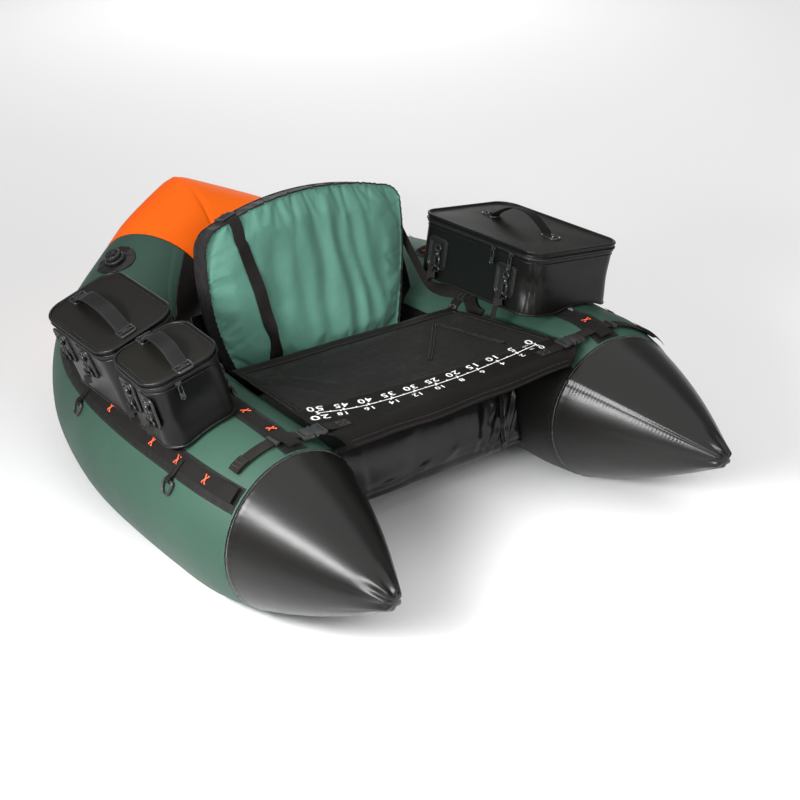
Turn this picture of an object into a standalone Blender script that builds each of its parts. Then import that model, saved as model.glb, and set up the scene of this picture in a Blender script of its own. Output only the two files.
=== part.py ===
"""Float tube (belly boat): two inflatable pontoons joined by a raised V bow,
a slung seat with a strapped backrest, a stripping apron with a ruler, and
three moulded tackle bags strapped to the gear webbing.

Units are metres, +Z is up, +X is to the right seen from the open (front) end,
the cone tips point to -Y and the bow to +Y.  Everything hangs from one empty,
which is moved at the end so that the origin is the bottom centre of the
assembly's bounding box.
"""
import bpy
import bmesh
import math
import numpy as np
from mathutils import Vector, Matrix

# ------------------------------------------------------------------ sizes
SIDES = 20                     # flat panels round a pontoon
PHASE = 3.0                    # first panel edge, degrees from the crown, outboard positive
GAP = 0.0003                   # clearance between neighbouring pieces

PONTOON_R = 0.167              # inflated pontoon, to the panel edges
AXIS_Z = 0.161                 # height of its axis: the bottom is pressed flat by 6 mm
SKIN = 0.0022                  # coated cover fabric
BLADDER_GAP = 0.0065           # bladder inside the cover
BLADDER_SKIN = 0.0012

# pontoon axis, one side: x, y, z, radius as a share of PONTOON_R
AXIS = [
    (0.381, -0.382, 0.161, 0.915),
    (0.3885, -0.300, 0.161, 0.985),
    (0.3905, -0.200, 0.161, 1.000),
    (0.3905, -0.060, 0.161, 1.000),
    (0.3790, 0.090, 0.161, 0.994),
    (0.3530, 0.245, 0.166, 0.915),
    (0.3050, 0.378, 0.185, 0.806),
    (0.2400, 0.452, 0.210, 0.775),
    (0.1200, 0.531, 0.258, 0.775),
    (0.0000, 0.610, 0.306, 0.775),
]
BOW_SEAM = 0.152               # from the bow's apex to its seam, along the arm
CONE_TIP = (0.385, -0.674, 0.172)
CONE_TIP_R = 0.021

WEB = 0.050                    # gear webbing
WEB_T = 0.0020
INNER_WEB_DEG = -6.0           # where the two gear strips run, from the crown
OUTER_WEB_DEG = 48.0
STRAP = 0.025                  # narrow webbing
RING_DEG = 59.2
RING_Y = (-0.230, 0.115)
VALVE_FROM_APEX = 0.240
VALVE_DEG = 12.0

# bags: y of the middle, offset across the pontoon, tilt, yaw, width, length, height above the
# floor's middle, and how far the walls reach down round the pontoon
BAG_FLOOR = 0.1705             # bag floor above the pontoon axis, along the bag's own up
BAG_WALL = 0.003
BAG_RADIUS = 0.030
LID_T = 0.015
LID_OVER = 0.0045
BAGS = {
    "right_bag": dict(side=1, y=-0.073, u=-0.0395, tilt=9.7, yaw=5.4, w=0.250, l=0.327, h=0.1113, drop=0.026, handle=(-0.072, 0.086), across=0.006, slider=("in", -0.050)),
    "left_front_bag": dict(side=-1, y=-0.1600, u=-0.017, tilt=-15.0, yaw=-3.1, w=0.146, l=0.153, h=0.136, drop=0.010, handle=(-0.066, 0.066), across=0.0, slider=("front", -0.022)),
    "left_rear_bag": dict(side=-1, y=0.0475, u=-0.001, tilt=-18.8, yaw=-0.7, w=0.157, l=0.230, h=0.143, drop=0.012, handle=(-0.084, 0.090), across=-0.012, slider=("in", -0.070)),
}

BACK_PIVOT = (0.0, 0.070, 0.196)   # backrest hinge line, along X
BACK_LEAN = 15.0
BACK_H = 0.322                 # to the corners, along the backrest
BACK_CROWN = 0.046             # rise of the top edge above the corners
BACK_LEFT0, BACK_RIGHT0, BACK_W1 = 0.208, 0.178, 0.474    # half widths at the bottom, width at the corners
BACK_T = 0.054
BACK_LIFT = 0.008              # the back of the top edge stands higher than the front

APRON_Z = 0.3105
APRON_REAR = ((-0.290, -0.045), (0.215, -0.070))
APRON_FRONT = ((-0.290, -0.360), (0.300, -0.352))
APRON_HINGE = (-0.2860, 0.3185)    # x and z of the line the apron lifts about

# ------------------------------------------------------------------ scene
for old in list(bpy.data.objects):
    bpy.data.objects.remove(old, do_unlink=True)

PARTS = bpy.data.collections.new("float_tube")
CUTTERS = bpy.data.collections.new("cutters")
bpy.context.scene.collection.children.link(PARTS)
bpy.context.scene.collection.children.link(CUTTERS)

ROOT = bpy.data.objects.new("float_tube_origin", None)
PARTS.objects.link(ROOT)


def material(name, rgb, rough, metal=0.0):
    m = bpy.data.materials.new(name)
    m.use_nodes = True
    b = m.node_tree.nodes["Principled BSDF"]
    lin = [((c / 255 + 0.055) / 1.055) ** 2.4 if c > 10 else c / 255 / 12.92 for c in rgb]
    b.inputs["Base Color"].default_value = (*lin, 1.0)
    b.inputs["Roughness"].default_value = rough
    b.inputs["Metallic"].default_value = metal
    return m


GREEN = (66, 96, 84)
ORANGE = (250, 118, 34)
BLACK_PVC = (40, 38, 35)
BLACK_WEB = (30, 28, 27)


def empty(name, parent, loc=(0, 0, 0), rot=(0, 0, 0)):
    e = bpy.data.objects.new(name, None)
    e.location = loc
    e.rotation_euler = [math.radians(a) for a in rot]
    e.parent = parent
    PARTS.objects.link(e)
    return e


def add(name, mesh, rgb, rough, metal=0.0, parent=None, loc=(0, 0, 0), rot=(0, 0, 0), smooth=True):
    ob = bpy.data.objects.new(name, mesh)
    ob.parent = parent or ROOT
    ob.location = loc
    ob.rotation_euler = [math.radians(a) for a in rot]
    PARTS.objects.link(ob)
    mesh.materials.append(material(name, rgb, rough, metal))
    if smooth:
        mesh.shade_smooth()
        mesh.set_sharp_from_angle(angle=math.radians(40))
    return ob


def finish(bm, name):
    me = bpy.data.meshes.new(name)
    bm.to_mesh(me)
    bm.free()
    return me


def solidify(ob, thickness, offset=-1.0):
    m = ob.modifiers.new("wall", "SOLIDIFY")
    m.thickness = thickness
    m.offset = offset
    m.use_rim = True
    return ob


def grid(bm, nu, nv, fn, closed=False):
    """A grid of nu by nv panels, each vertex (i, j) placed by fn."""
    out = bmesh.ops.create_grid(bm, x_segments=nu, y_segments=nv, size=1.0)
    for v in out["verts"]:
        i = int(round((v.co.x + 1) / 2 * nu))
        j = int(round((v.co.y + 1) / 2 * nv))
        v.co = Vector(fn(i, j))
    if closed:
        bmesh.ops.remove_doubles(bm, verts=out["verts"], dist=1e-5)
    return out["verts"]


def block(bm, size, centre=(0, 0, 0), rot=None, bevel=0.0, segments=1, vertical=False):
    out = bmesh.ops.create_cube(bm, size=1.0)
    vs = out["verts"]
    bmesh.ops.scale(bm, verts=vs, vec=size)
    if bevel:
        es = {e for v in vs for e in v.link_edges}
        if vertical:
            es = {e for e in es if abs(e.verts[0].co.z - e.verts[1].co.z) > 1e-6}
        res = bmesh.ops.bevel(bm, geom=list(es), offset=bevel, segments=segments, profile=0.5, affect="EDGES")
        vs = list({v for f in res["faces"] for v in f.verts} | {v for v in vs if v.is_valid})
    if rot is not None:
        bmesh.ops.rotate(bm, verts=vs, cent=(0, 0, 0), matrix=rot)
    bmesh.ops.translate(bm, verts=vs, vec=centre)
    return vs


def rod(bm, r1, r2, depth, centre, axis=(0, 0, 1), segments=16):
    out = bmesh.ops.create_cone(bm, cap_ends=True, segments=segments, radius1=r1, radius2=r2, depth=depth)
    q = Vector((0, 0, 1)).rotation_difference(Vector(axis).normalized()).to_matrix()
    bmesh.ops.rotate(bm, verts=out["verts"], cent=(0, 0, 0), matrix=q)
    bmesh.ops.translate(bm, verts=out["verts"], vec=centre)
    return out["verts"]


def cutter(name, mesh, parent=None, loc=(0, 0, 0), rot=(0, 0, 0)):
    ob = bpy.data.objects.new(name, mesh)
    ob.parent = parent or ROOT
    ob.location = loc
    ob.rotation_euler = [math.radians(a) for a in rot]
    ob.hide_render = True
    ob.display_type = "WIRE"
    CUTTERS.objects.link(ob)
    return ob


def cut(ob, tool):
    m = ob.modifiers.new("cut_" + tool.name, "BOOLEAN")
    m.operation = "DIFFERENCE"
    m.solver = "EXACT"
    m.object = tool
    return ob


# ------------------------------------------------------------------ the hull's axis
def spline(rows, per):
    """Catmull-Rom through the rows, `per` steps a span."""
    p = np.array(rows, float)
    p = np.vstack([2 * p[0] - p[1], p, 2 * p[-1] - p[-2]])
    out = []
    for k in range(1, len(p) - 2):
        for t in np.linspace(0, 1, per, endpoint=False):
            a, b, c, d = p[k - 1], p[k], p[k + 1], p[k + 2]
            out.append(0.5 * ((2 * b) + (c - a) * t + (2 * a - 5 * b + 4 * c - d) * t * t + (3 * b - 3 * c + d - a) * t ** 3))
    out.append(p[-2])
    return np.array(out)


LINE = spline(AXIS, 40)
ARC = np.r_[0, np.cumsum(np.linalg.norm(np.diff(LINE[:, :3], axis=0), axis=1))]
LENGTH = float(ARC[-1])
SEAM_S = LENGTH - BOW_SEAM


def on_axis(s):
    c = np.array([np.interp(s, ARC, LINE[:, k]) for k in range(4)])
    a = np.array([np.interp(s - 0.004, ARC, LINE[:, k]) for k in range(3)])
    b = np.array([np.interp(s + 0.004, ARC, LINE[:, k]) for k in range(3)])
    t = (b - a) / np.linalg.norm(b - a)
    return c[:3], t, c[3] * PONTOON_R


def frame_at(s):
    c, t, r = on_axis(s)
    out = np.cross(t, (0, 0, 1.0))
    out /= np.linalg.norm(out)
    up = np.cross(out, t)
    return c, t, out, up, r


def ring_vertex(s, k, inset=0.0):
    """Panel edge k of the section at s, pressed flat at the floor."""
    c, t, out, up, r = frame_at(s)
    a = math.radians(PHASE + 360.0 / SIDES * k)
    p = c + (r - inset) * (math.sin(a) * out + math.cos(a) * up)
    p[2] = max(p[2], inset)
    return p


# sections of the pontoon cover, from the cone seam to the bow seam
STATIONS = np.array([GAP / 2, 0.045, 0.085, 0.150, 0.300, 0.400, 0.480, 0.555, 0.630, 0.700, 0.770, 0.840, 0.905, SEAM_S - GAP / 2])


def surface(side, s, deg, off=0.0):
    """A point on the flat panels of the pontoon cover, `off` above them."""
    step = 360.0 / SIDES
    k = math.floor((deg - PHASE) / step + 1e-9)
    f = (deg - PHASE) / step - k
    i = int(np.clip(np.searchsorted(STATIONS, s) - 1, 0, len(STATIONS) - 2))
    w = (s - STATIONS[i]) / (STATIONS[i + 1] - STATIONS[i])
    a0, b0 = ring_vertex(STATIONS[i], k), ring_vertex(STATIONS[i], k + 1)
    a1, b1 = ring_vertex(STATIONS[i + 1], k), ring_vertex(STATIONS[i + 1], k + 1)
    p = (a0 * (1 - f) + b0 * f) * (1 - w) + (a1 * (1 - f) + b1 * f) * w
    n = np.cross(a1 - a0, b0 - a0)
    n /= np.linalg.norm(n)
    c = frame_at(s)[0]
    if n @ (p - c) < 0:
        n = -n
    if f < 1e-6:                # on a panel edge: lean to the mean of both panels
        m = ring_vertex(s, k) - c
        n = m / np.linalg.norm(m)
        off = off / math.cos(math.radians(step / 2))
    p = p + n * off
    return (side * p[0], p[1], p[2])


def s_at_y(y):
    i = int(np.argmin(np.abs(LINE[:, 1] - y)))
    return float(ARC[i])


# ------------------------------------------------------------------ hull
def cover(name, side, stations, rgb, rough):
    """An open sleeve of cover fabric."""
    bm = bmesh.new()
    n = len(stations) - 1

    def place(i, j):
        p = ring_vertex(stations[i], j % SIDES)
        return (side * p[0], p[1], p[2])

    grid(bm, n, SIDES, place, closed=True)
    if side < 0:
        bmesh.ops.reverse_faces(bm, faces=bm.faces)
    ob = add(name, finish(bm, name), rgb, rough)
    return solidify(ob, SKIN, 1.0)


left_cover = cover("left_pontoon_cover", -1, STATIONS, GREEN, 0.55)
right_cover = cover("right_pontoon_cover", 1, STATIONS, GREEN, 0.55)

# cone ends: a sleeve that tapers to a small flat-nosed tip
for side, name in ((-1, "left_cone_cover"), (1, "right_cone_cover")):
    bm = bmesh.new()
    c0, t0, out0, up0, r0 = frame_at(0.0)
    tip = np.array(CONE_TIP)
    steps = [0.0, 0.25, 0.5, 0.75, 1.0]

    def place(i, j, side=side, steps=steps):
        f = steps[i]
        a = math.radians(PHASE + 360.0 / SIDES * (j % SIDES))
        c = c0 + (tip - c0) * f
        r = r0 + (CONE_TIP_R - r0) * f + 0.010 * math.sin(math.pi * f)
        start = -GAP / 2 - 0.0009 if i == 0 else 0.0
        p = c + r * (math.sin(a) * out0 + math.cos(a) * up0) + t0 * start
        p[2] = max(p[2], 0.0)
        return (side * p[0], p[1], p[2])

    vs = grid(bm, len(steps) - 1, SIDES, place, closed=True)
    nose = [v for v in bm.verts if v.co.y < CONE_TIP[1] + 0.02]
    loop = list({e for v in nose for e in v.link_edges if all(w in nose for w in e.verts)})
    bmesh.ops.holes_fill(bm, edges=loop, sides=SIDES)
    bmesh.ops.recalc_face_normals(bm, faces=bm.faces)
    ob = add(name, finish(bm, name), BLACK_PVC, 0.35)
    solidify(ob, SKIN, -1.0)

# bow: the two arms meet in a mitre at the apex
bm = bmesh.new()
arm = [SEAM_S + GAP / 2, LENGTH - 0.100]
c1, t1, out1, up1, r1 = frame_at(LENGTH - 0.02)
NOSE = 0.062                   # how far the inflated corner falls short of a sharp one


def bow_place(i, j):
    if i < 2:
        return tuple(ring_vertex(arm[i], j % SIDES))
    # run each panel edge on to the mitre plane x = 0, the outer ones rounded off
    q = ring_vertex(arm[1], j % SIDES)
    p = q + t1 * (q[0] / -t1[0])
    p[0] = 0.0
    outer = (0.5 + 0.5 * math.sin(math.radians(PHASE + 360.0 / SIDES * j))) ** 1.5
    if i == 2:
        p = q + (p - q) * 0.55
        p[1] -= NOSE * 0.42 * outer
    else:
        p[1] -= NOSE * outer
    return tuple(p)


grid(bm, 3, SIDES, bow_place, closed=True)
bow = add("bow_cover", finish(bm, "bow_cover"), ORANGE, 0.5)
m = bow.modifiers.new("mirror", "MIRROR")
m.use_clip = True
m.merge_threshold = 0.0001
solidify(bow, SKIN, 1.0)

# bladders: one air chamber a side, from inside the cone to inside the bow
BL_SIDES = 12


def bladder(name, side):
    bm = bmesh.new()
    c0, t0, out0, up0, r0 = frame_at(0.0)
    rows = [("cone", 0.80), ("cone", 0.55), ("cone", 0.18)] + [("line", s) for s in (0.06, 0.16, 0.30, 0.42, 0.53, 0.63, 0.73, 0.83, 0.93, 1.03)]
    rows += [("end", LENGTH - 0.100)]

    def row(i):
        kind, v = rows[i]
        if kind == "cone":
            c = c0 + (np.array(CONE_TIP) - c0) * v
            return c, out0, up0, r0 + (CONE_TIP_R - r0) * v
        c, t, out, up, r = frame_at(v)
        if kind == "end":
            r *= 0.80
        return c, out, up, r

    def place(i, j):
        c, out, up, r = row(i)
        a = 2 * math.pi * (j % BL_SIDES) / BL_SIDES
        p = c + (r - BLADDER_GAP) * (math.sin(a) * out + math.cos(a) * up)
        p[2] = max(p[2], SKIN + 0.003)
        return (side * p[0], p[1], p[2])

    n = len(rows) - 1
    grid(bm, n, BL_SIDES, place, closed=True)
    bmesh.ops.holes_fill(bm, edges=[e for e in bm.edges if e.is_boundary], sides=BL_SIDES)
    bmesh.ops.recalc_face_normals(bm, faces=bm.faces)
    ob = add(name, finish(bm, name), (170, 172, 170), 0.3)
    return solidify(ob, BLADDER_SKIN, -1.0)


left_bladder = bladder("left_bladder", -1)
right_bladder = bladder("right_bladder", 1)

# valves: a patch on the cover, a threaded body through cover and bladder, a screw cap
def turn(bm, profile, centre=(0, 0, 0), axis=(0, 0, 1), steps=20):
    """A closed (radius, height) outline turned about an axis."""
    vs = [bm.verts.new((r, 0.0, z)) for r, z in profile]
    es = [bm.edges.new((vs[k], vs[(k + 1) % len(vs)])) for k in range(len(vs))]
    before = set(bm.faces)
    out = bmesh.ops.spin(bm, geom=vs + es, cent=(0, 0, 0), axis=(0, 0, 1), angle=2 * math.pi, steps=steps, use_merge=True)
    faces = [f for f in bm.faces if f not in before]
    verts = list({v for f in faces for v in f.verts})
    bmesh.ops.remove_doubles(bm, verts=verts, dist=1e-6)
    faces = [f for f in bm.faces if f not in before]
    verts = list({v for f in faces for v in f.verts})
    bmesh.ops.recalc_face_normals(bm, faces=faces)
    q = Vector((0, 0, 1)).rotation_difference(Vector(axis).normalized()).to_matrix()
    bmesh.ops.rotate(bm, verts=verts, cent=(0, 0, 0), matrix=q)
    bmesh.ops.translate(bm, verts=verts, vec=Vector(centre))
    return verts


VALVE_S = LENGTH - VALVE_FROM_APEX
PATCH_R, PATCH_HOLE, PATCH_T, PATCH_LIFT = 0.044, 0.0165, 0.0016, 0.0012
STEM_R = 0.0135
vc, vt, vo, vu, vr = frame_at(VALVE_S)
va = math.radians(VALVE_DEG)
for side, hand in ((-1, "left"), (1, "right")):
    mirror = np.array([side, 1, 1])
    n = (math.sin(va) * vo + math.cos(va) * vu) * mirror
    base = vc * mirror + n * (vr * math.cos(math.radians(9)))

    def patch_place(i, j, side=side):
        rr = PATCH_HOLE + (PATCH_R - PATCH_HOLE) * i / 2
        a = 2 * math.pi * (j % 20) / 20
        ang = va + rr * math.sin(a) / vr
        p = vc + vt * (rr * math.cos(a)) + (vr + PATCH_LIFT) * (math.sin(ang) * vo + math.cos(ang) * vu)
        return (side * p[0], p[1], p[2])

    bm = bmesh.new()
    grid(bm, 2, 20, patch_place, closed=True)
    for f in bm.faces:
        f.normal_update()
    if sum(1 if f.normal @ Vector(n) > 0 else -1 for f in bm.faces) < 0:
        bmesh.ops.reverse_faces(bm, faces=bm.faces)
    solidify(add(hand + "_valve_patch", finish(bm, "patch"), BLACK_PVC, 0.5), PATCH_T, 1.0)
    # flange on the patch, stem down into the air chamber, bore right through
    seat = base + n * (vr * (1 - math.cos(math.radians(9))) + PATCH_LIFT + PATCH_T + GAP)
    bm = bmesh.new()
    turn(bm, [(0.0210, 0.0), (0.0200, 0.005), (0.0095, 0.005), (0.0095, -0.022), (STEM_R, -0.022), (STEM_R, 0.0)], seat, n, 20)
    add(hand + "_valve_body", finish(bm, "valve_body"), (24, 24, 24), 0.35)
    bm = bmesh.new()
    turn(bm, [(0.0178, 0.0), (0.0178, 0.007), (0.0160, 0.009), (0.0060, 0.009), (0.0060, 0.012), (0.0, 0.012), (0.0, 0.0)], (0, 0, 0), (0, 0, 1), 20)
    cap = add(hand + "_valve_cap", finish(bm, "valve_cap"), (20, 20, 20), 0.35, loc=tuple(seat + n * (0.005 + GAP)))
    cap.rotation_mode = "QUATERNION"
    cap.rotation_quaternion = Vector((0, 0, 1)).rotation_difference(Vector(n))
    bm = bmesh.new()
    rod(bm, STEM_R + 0.001, STEM_R + 0.001, 0.060, tuple(seat - n * 0.012), tuple(n), 20)
    hole = cutter(hand + "_valve_hole", finish(bm, "valve_hole"))
    cut(left_cover if side < 0 else right_cover, hole)
    cut(left_bladder if side < 0 else right_bladder, hole)


# ------------------------------------------------------------------ gear webbing
def ribbon(bm, rows):
    """A strip through rows of (one edge, other edge) points."""
    n = len(rows) - 1
    before = set(bm.faces)
    grid(bm, n, 1, lambda i, j: rows[i][j])
    new = [f for f in bm.faces if f not in before]
    for f in new:
        f.normal_update()
    return new


def axis_near(c):
    p = np.array([abs(c[0]), c[1], c[2]])
    i = int(np.argmin(((LINE[:, :3] - p) ** 2).sum(1)))
    return Vector((math.copysign(LINE[i, 0], c[0]), LINE[i, 1], LINE[i, 2]))


def face_out(bm, faces):
    """Turn a strip so that its faces look away from the hull's axis."""
    s = 0.0
    for f in faces:
        c = f.calc_center_median()
        s += f.normal @ (c - axis_near(c))
    if s < 0:
        bmesh.ops.reverse_faces(bm, faces=faces)


def along_rows(side, s0, s1, deg, width, off):
    cuts = [s0] + [float(s) for s in STATIONS if s0 + 0.012 < s < s1 - 0.012] + [s1]
    rows = []
    for s in cuts:
        half = math.degrees(width / 2 / frame_at(s)[4])
        rows.append((surface(side, s, deg - half, off), surface(side, s, deg + half, off)))
    return rows


def across_rows(side, s, d0, d1, width, off):
    """Rows of a strap that runs round the pontoon, bending at each panel edge."""
    step = 360.0 / SIDES
    edges = [PHASE + step * k for k in range(-SIDES, SIDES)]
    degs = [d0] + [e for e in edges if d0 + 0.5 < e < d1 - 0.5] + [d1]
    return [(surface(side, s - width / 2, d, off), surface(side, s + width / 2, d, off)) for d in degs]


def helper(name, bm):
    ob = bpy.data.objects.new(name, finish(bm, name))
    ob.parent = ROOT
    ob.hide_render = True
    ob.display_type = "WIRE"
    CUTTERS.objects.link(ob)
    return ob


def join(ob, tool):
    m = ob.modifiers.new("join_" + tool.name, "BOOLEAN")
    m.operation = "UNION"
    m.solver = "EXACT"
    m.object = tool
    return ob


WEB_OFF = 0.0010
WEB_END = 0.012
RING_WIRE = 0.0027
RING_W, RING_H = 0.032, 0.030
EAR_H = 0.0066                # ring bar above the panel
EYE_R = 0.0037
for side, hand in ((-1, "left"), (1, "right")):
    bm = bmesh.new()
    face_out(bm, ribbon(bm, along_rows(side, WEB_END, s_at_y(0.21), INNER_WEB_DEG, WEB, WEB_OFF)))
    solidify(add(hand + "_inner_webbing", finish(bm, "webbing"), BLACK_WEB, 0.8), WEB_T, 1.0)
    bm = bmesh.new()
    face_out(bm, ribbon(bm, along_rows(side, WEB_END, s_at_y(0.33), OUTER_WEB_DEG, WEB, WEB_OFF)))
    outer = solidify(add(hand + "_outer_webbing", finish(bm, "webbing"), BLACK_WEB, 0.8), WEB_T, 1.0)

    eyes = []
    for k, y in enumerate(RING_Y):
        s = s_at_y(y)
        p = Vector(surface(side, s, RING_DEG, 0.0))
        n = (Vector(surface(side, s, RING_DEG, 0.01)) - p).normalized()
        along = Vector(surface(side, s + 0.01, RING_DEG, 0.0)) - p
        along = (along - along.dot(n) * n).normalized()
        down = along.cross(n)
        if down.z > 0:
            down, along = -down, -along
        if along.cross(down).dot(n) < 0:
            along = -along
        basis = Matrix((along, down, n)).transposed()
        frame = Matrix.Translation(p) @ basis.to_4x4()

        def flat(deg, off, side=side, s=s, frame=frame):
            q = frame.inverted() @ Vector(surface(side, s, deg, off))
            return (q.y, q.z)

        # tab: a webbing tongue sewn on the strip, with a sleeve for the ring's bar
        low, high = 0.0016, 0.0038
        prof = [flat(45.5, low), flat(57.0, low), (-0.004, low), (0.0036, 0.0022), (0.0050, EAR_H), (0.0030, EAR_H + 0.0046), (-0.0012, EAR_H + 0.0052), (-0.0058, 0.0082), flat(53.0, high), flat(45.5, high)]
        bm = bmesh.new()
        half = 0.010
        ends = [[bm.verts.new((x, yy, zz)) for yy, zz in prof] for x in (-half, half)]
        bm.faces.new(ends[0])
        bm.faces.new(ends[1])
        for a in range(len(prof)):
            b = (a + 1) % len(prof)
            bm.faces.new((ends[0][a], ends[0][b], ends[1][b], ends[1][a]))
        bmesh.ops.recalc_face_normals(bm, faces=bm.faces)
        bmesh.ops.transform(bm, matrix=frame, verts=bm.verts)
        join(outer, helper("%s_ring_tab_%d" % (hand, k), bm))
        bm = bmesh.new()
        rod(bm, EYE_R, EYE_R, 0.030, (0, 0.0, EAR_H), (1, 0, 0), 8)
        bmesh.ops.transform(bm, matrix=frame, verts=bm.verts)
        eyes.append(helper("%s_ring_eye_%d" % (hand, k), bm))
        # ring: a closed D of wire, its bar in the sleeve, lying against the hull
        name = "%s_d_ring_%s" % (hand, ("front", "rear")[k])
        cu = bpy.data.curves.new(name, "CURVE")
        cu.dimensions = "3D"
        cu.bevel_depth = RING_WIRE
        cu.bevel_resolution = 1
        sp = cu.splines.new("POLY")
        w = RING_W / 2 - RING_WIRE
        h = RING_H - 2 * RING_WIRE
        pts = [(-w, 0.0), (w, 0.0), (w, h * 0.38), (w * 0.80, h * 0.74), (w * 0.38, h * 0.96), (-w * 0.38, h * 0.96), (-w * 0.80, h * 0.74), (-w, h * 0.38)]
        sp.points.add(len(pts) - 1)
        for pt, (x, yy) in zip(sp.points, pts):
            pt.co = (x, yy, 0.0, 1.0)
        sp.use_cyclic_u = True
        cu.materials.append(material(name, (34, 33, 33), 0.35, 0.6))
        ring = bpy.data.objects.new(name, cu)
        PARTS.objects.link(ring)
        ring.parent = ROOT
        # the free end leans in a little, so that the ring lies along the panels
        ring.matrix_local = Matrix.Translation(p + n * EAR_H) @ basis.to_4x4() @ Matrix.Rotation(math.radians(-7.0), 4, "X")
    for eye in eyes:
        cut(outer, eye)

# ------------------------------------------------------------------ seat
SEAT_FRONT, SEAT_BACK = -0.262, 0.060
SEAT_LOW, SEAT_TOP = 0.092, 0.196
SEAT_HALF = 0.206
SLING_T = 0.003

bm = bmesh.new()
block(bm, (2 * SEAT_HALF, SEAT_BACK - SEAT_FRONT, SEAT_TOP - SEAT_LOW), (0, (SEAT_FRONT + SEAT_BACK) / 2, (SEAT_TOP + SEAT_LOW) / 2), bevel=0.028, segments=2)
add("seat_cushion", finish(bm, "seat_cushion"), BLACK_PVC, 0.45)

# sling: up the front of the cushion, under it and up behind, its edges on the pontoons
SLING = [(-0.268, 0.206), (-0.272, 0.180), (-0.274, 0.130), (-0.266, 0.094), (-0.240, 0.0835), (-0.120, 0.0800), (0.020, 0.0820), (0.066, 0.092), (0.082, 0.118), (0.086, 0.160)]


def sling_half(z):
    """Half the width between the pontoons at height z."""
    return 0.3905 - math.sqrt(PONTOON_R ** 2 - (z - AXIS_Z) ** 2) - 0.0020


bm = bmesh.new()


def sling_place(i, j):
    y, z = SLING[i]
    h = sling_half(z)
    if y > 0.0:
        h -= 0.020 * (y / 0.086)
    return ((-1 + 2 * j / 2) * h, y, z)


grid(bm, len(SLING) - 1, 2, sling_place)
sling = add("seat_sling", finish(bm, "seat_sling"), BLACK_PVC, 0.3)
solidify(sling, SLING_T, 0.0)

# ------------------------------------------------------------------ backrest
back = empty("backrest_frame", ROOT, BACK_PIVOT, (-BACK_LEAN, 0, 0))
BACK_FRONT = -0.036            # front face from the pivot, along the backrest's own Y
BACK_LOW = 0.016


def back_outline(inset=0.0, lift=0.0, n=10):
    """Outline in the backrest's own X and Z, anticlockwise from the lower left."""
    def side(f, half0):
        half = half0 + (BACK_W1 / 2 - half0) * math.sin(f * math.pi / 2)
        return half - inset, BACK_LOW + (BACK_H - BACK_LOW - inset) * f + (lift if f > 0.99 else 0.0)

    pts = [(-BACK_LEFT0 + inset, BACK_LOW + inset), (BACK_RIGHT0 - inset, BACK_LOW + inset)]
    pts += [side(k / 3.0, BACK_RIGHT0) for k in (1, 2, 3)]
    for k in range(1, n):
        a = -1 + 2.0 * k / n
        pts.append((-a * (BACK_W1 / 2 - inset), BACK_H - inset + lift + BACK_CROWN * (1 - a * a)))
    pts += [(-x, z) for x, z in (side(k / 3.0, BACK_LEFT0) for k in (3, 2, 1))]
    return pts


def slab(name, outline, y0, y1, rgb, rough, parent):
    """A flat outline in X and Z, extruded along Y from y0 to y1."""
    cu = bpy.data.curves.new(name, "CURVE")
    cu.dimensions = "2D"
    cu.fill_mode = "BOTH"
    cu.extrude = (y1 - y0) / 2
    sp = cu.splines.new("POLY")
    sp.points.add(len(outline) - 1)
    for pt, (x, z) in zip(sp.points, outline):
        pt.co = (x, z, 0.0, 1.0)
    sp.use_cyclic_u = True
    cu.materials.append(material(name, rgb, rough))
    ob = bpy.data.objects.new(name, cu)
    ob.parent = parent
    ob.location = (0, (y0 + y1) / 2, 0)
    ob.rotation_euler = (math.pi / 2, 0, 0)
    PARTS.objects.link(ob)
    return ob


BORDER_T = 0.003
slab("backrest_pad", back_outline(BORDER_T + 0.0014), BACK_FRONT, BACK_FRONT + 0.036, GREEN, 0.6, back)
slab("backrest_board", back_outline(BORDER_T + 0.0022, 0.6 * BACK_LIFT), BACK_FRONT + 0.036 + GAP, BACK_FRONT + BACK_T - 0.003, BLACK_WEB, 0.7, back)
bm = bmesh.new()
rim = [back_outline(0.0, 0.0), back_outline(0.0, BACK_LIFT)]
grid(bm, len(rim[0]), 1, lambda i, j: (rim[j][i % len(rim[0])][0], BACK_FRONT + 0.001 + (BACK_T - 0.002) * j, rim[j][i % len(rim[0])][1]), closed=True)
bmesh.ops.recalc_face_normals(bm, faces=bm.faces)
border = add("backrest_border", finish(bm, "backrest_border"), BLACK_WEB, 0.7, parent=back)
solidify(border, BORDER_T, -1.0)

# left strap: from a ladder buckle on the top edge down the front of the pad
LS_X = -0.165
top_at = BACK_H + BACK_CROWN * (1 - (LS_X / (BACK_W1 / 2)) ** 2)
tilt = math.degrees(math.atan(2 * BACK_CROWN * -LS_X / (BACK_W1 / 2) ** 2))
bm = bmesh.new()
block(bm, (0.036, 0.030, 0.0050), (0, 0, 0.0), bevel=0.0012)
ladder = add("left_ladder_buckle", finish(bm, "ladder"), (26, 25, 24), 0.4, parent=back, loc=(LS_X, BACK_FRONT + 0.032, top_at + BACK_LIFT + 0.0040), rot=(0, -tilt, 0))
STRAP_T = 0.0016
ls = [(BACK_FRONT + 0.050, top_at + BACK_LIFT + 0.0086, 0), (BACK_FRONT + 0.016, top_at + BACK_LIFT + 0.0086, 0), (BACK_FRONT + 0.006, top_at + 0.0100, 0), (BACK_FRONT - 0.0040, top_at + 0.0040, 0), (BACK_FRONT - 0.0075, top_at - 0.014, 0), (BACK_FRONT - 0.0080, top_at - 0.060, 4), (BACK_FRONT - 0.0085, 0.22, 10), (BACK_FRONT - 0.0100, 0.15, 6), (BACK_FRONT - 0.0100, 0.08, -4), (BACK_FRONT - 0.0085, 0.022, -6)]
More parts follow.
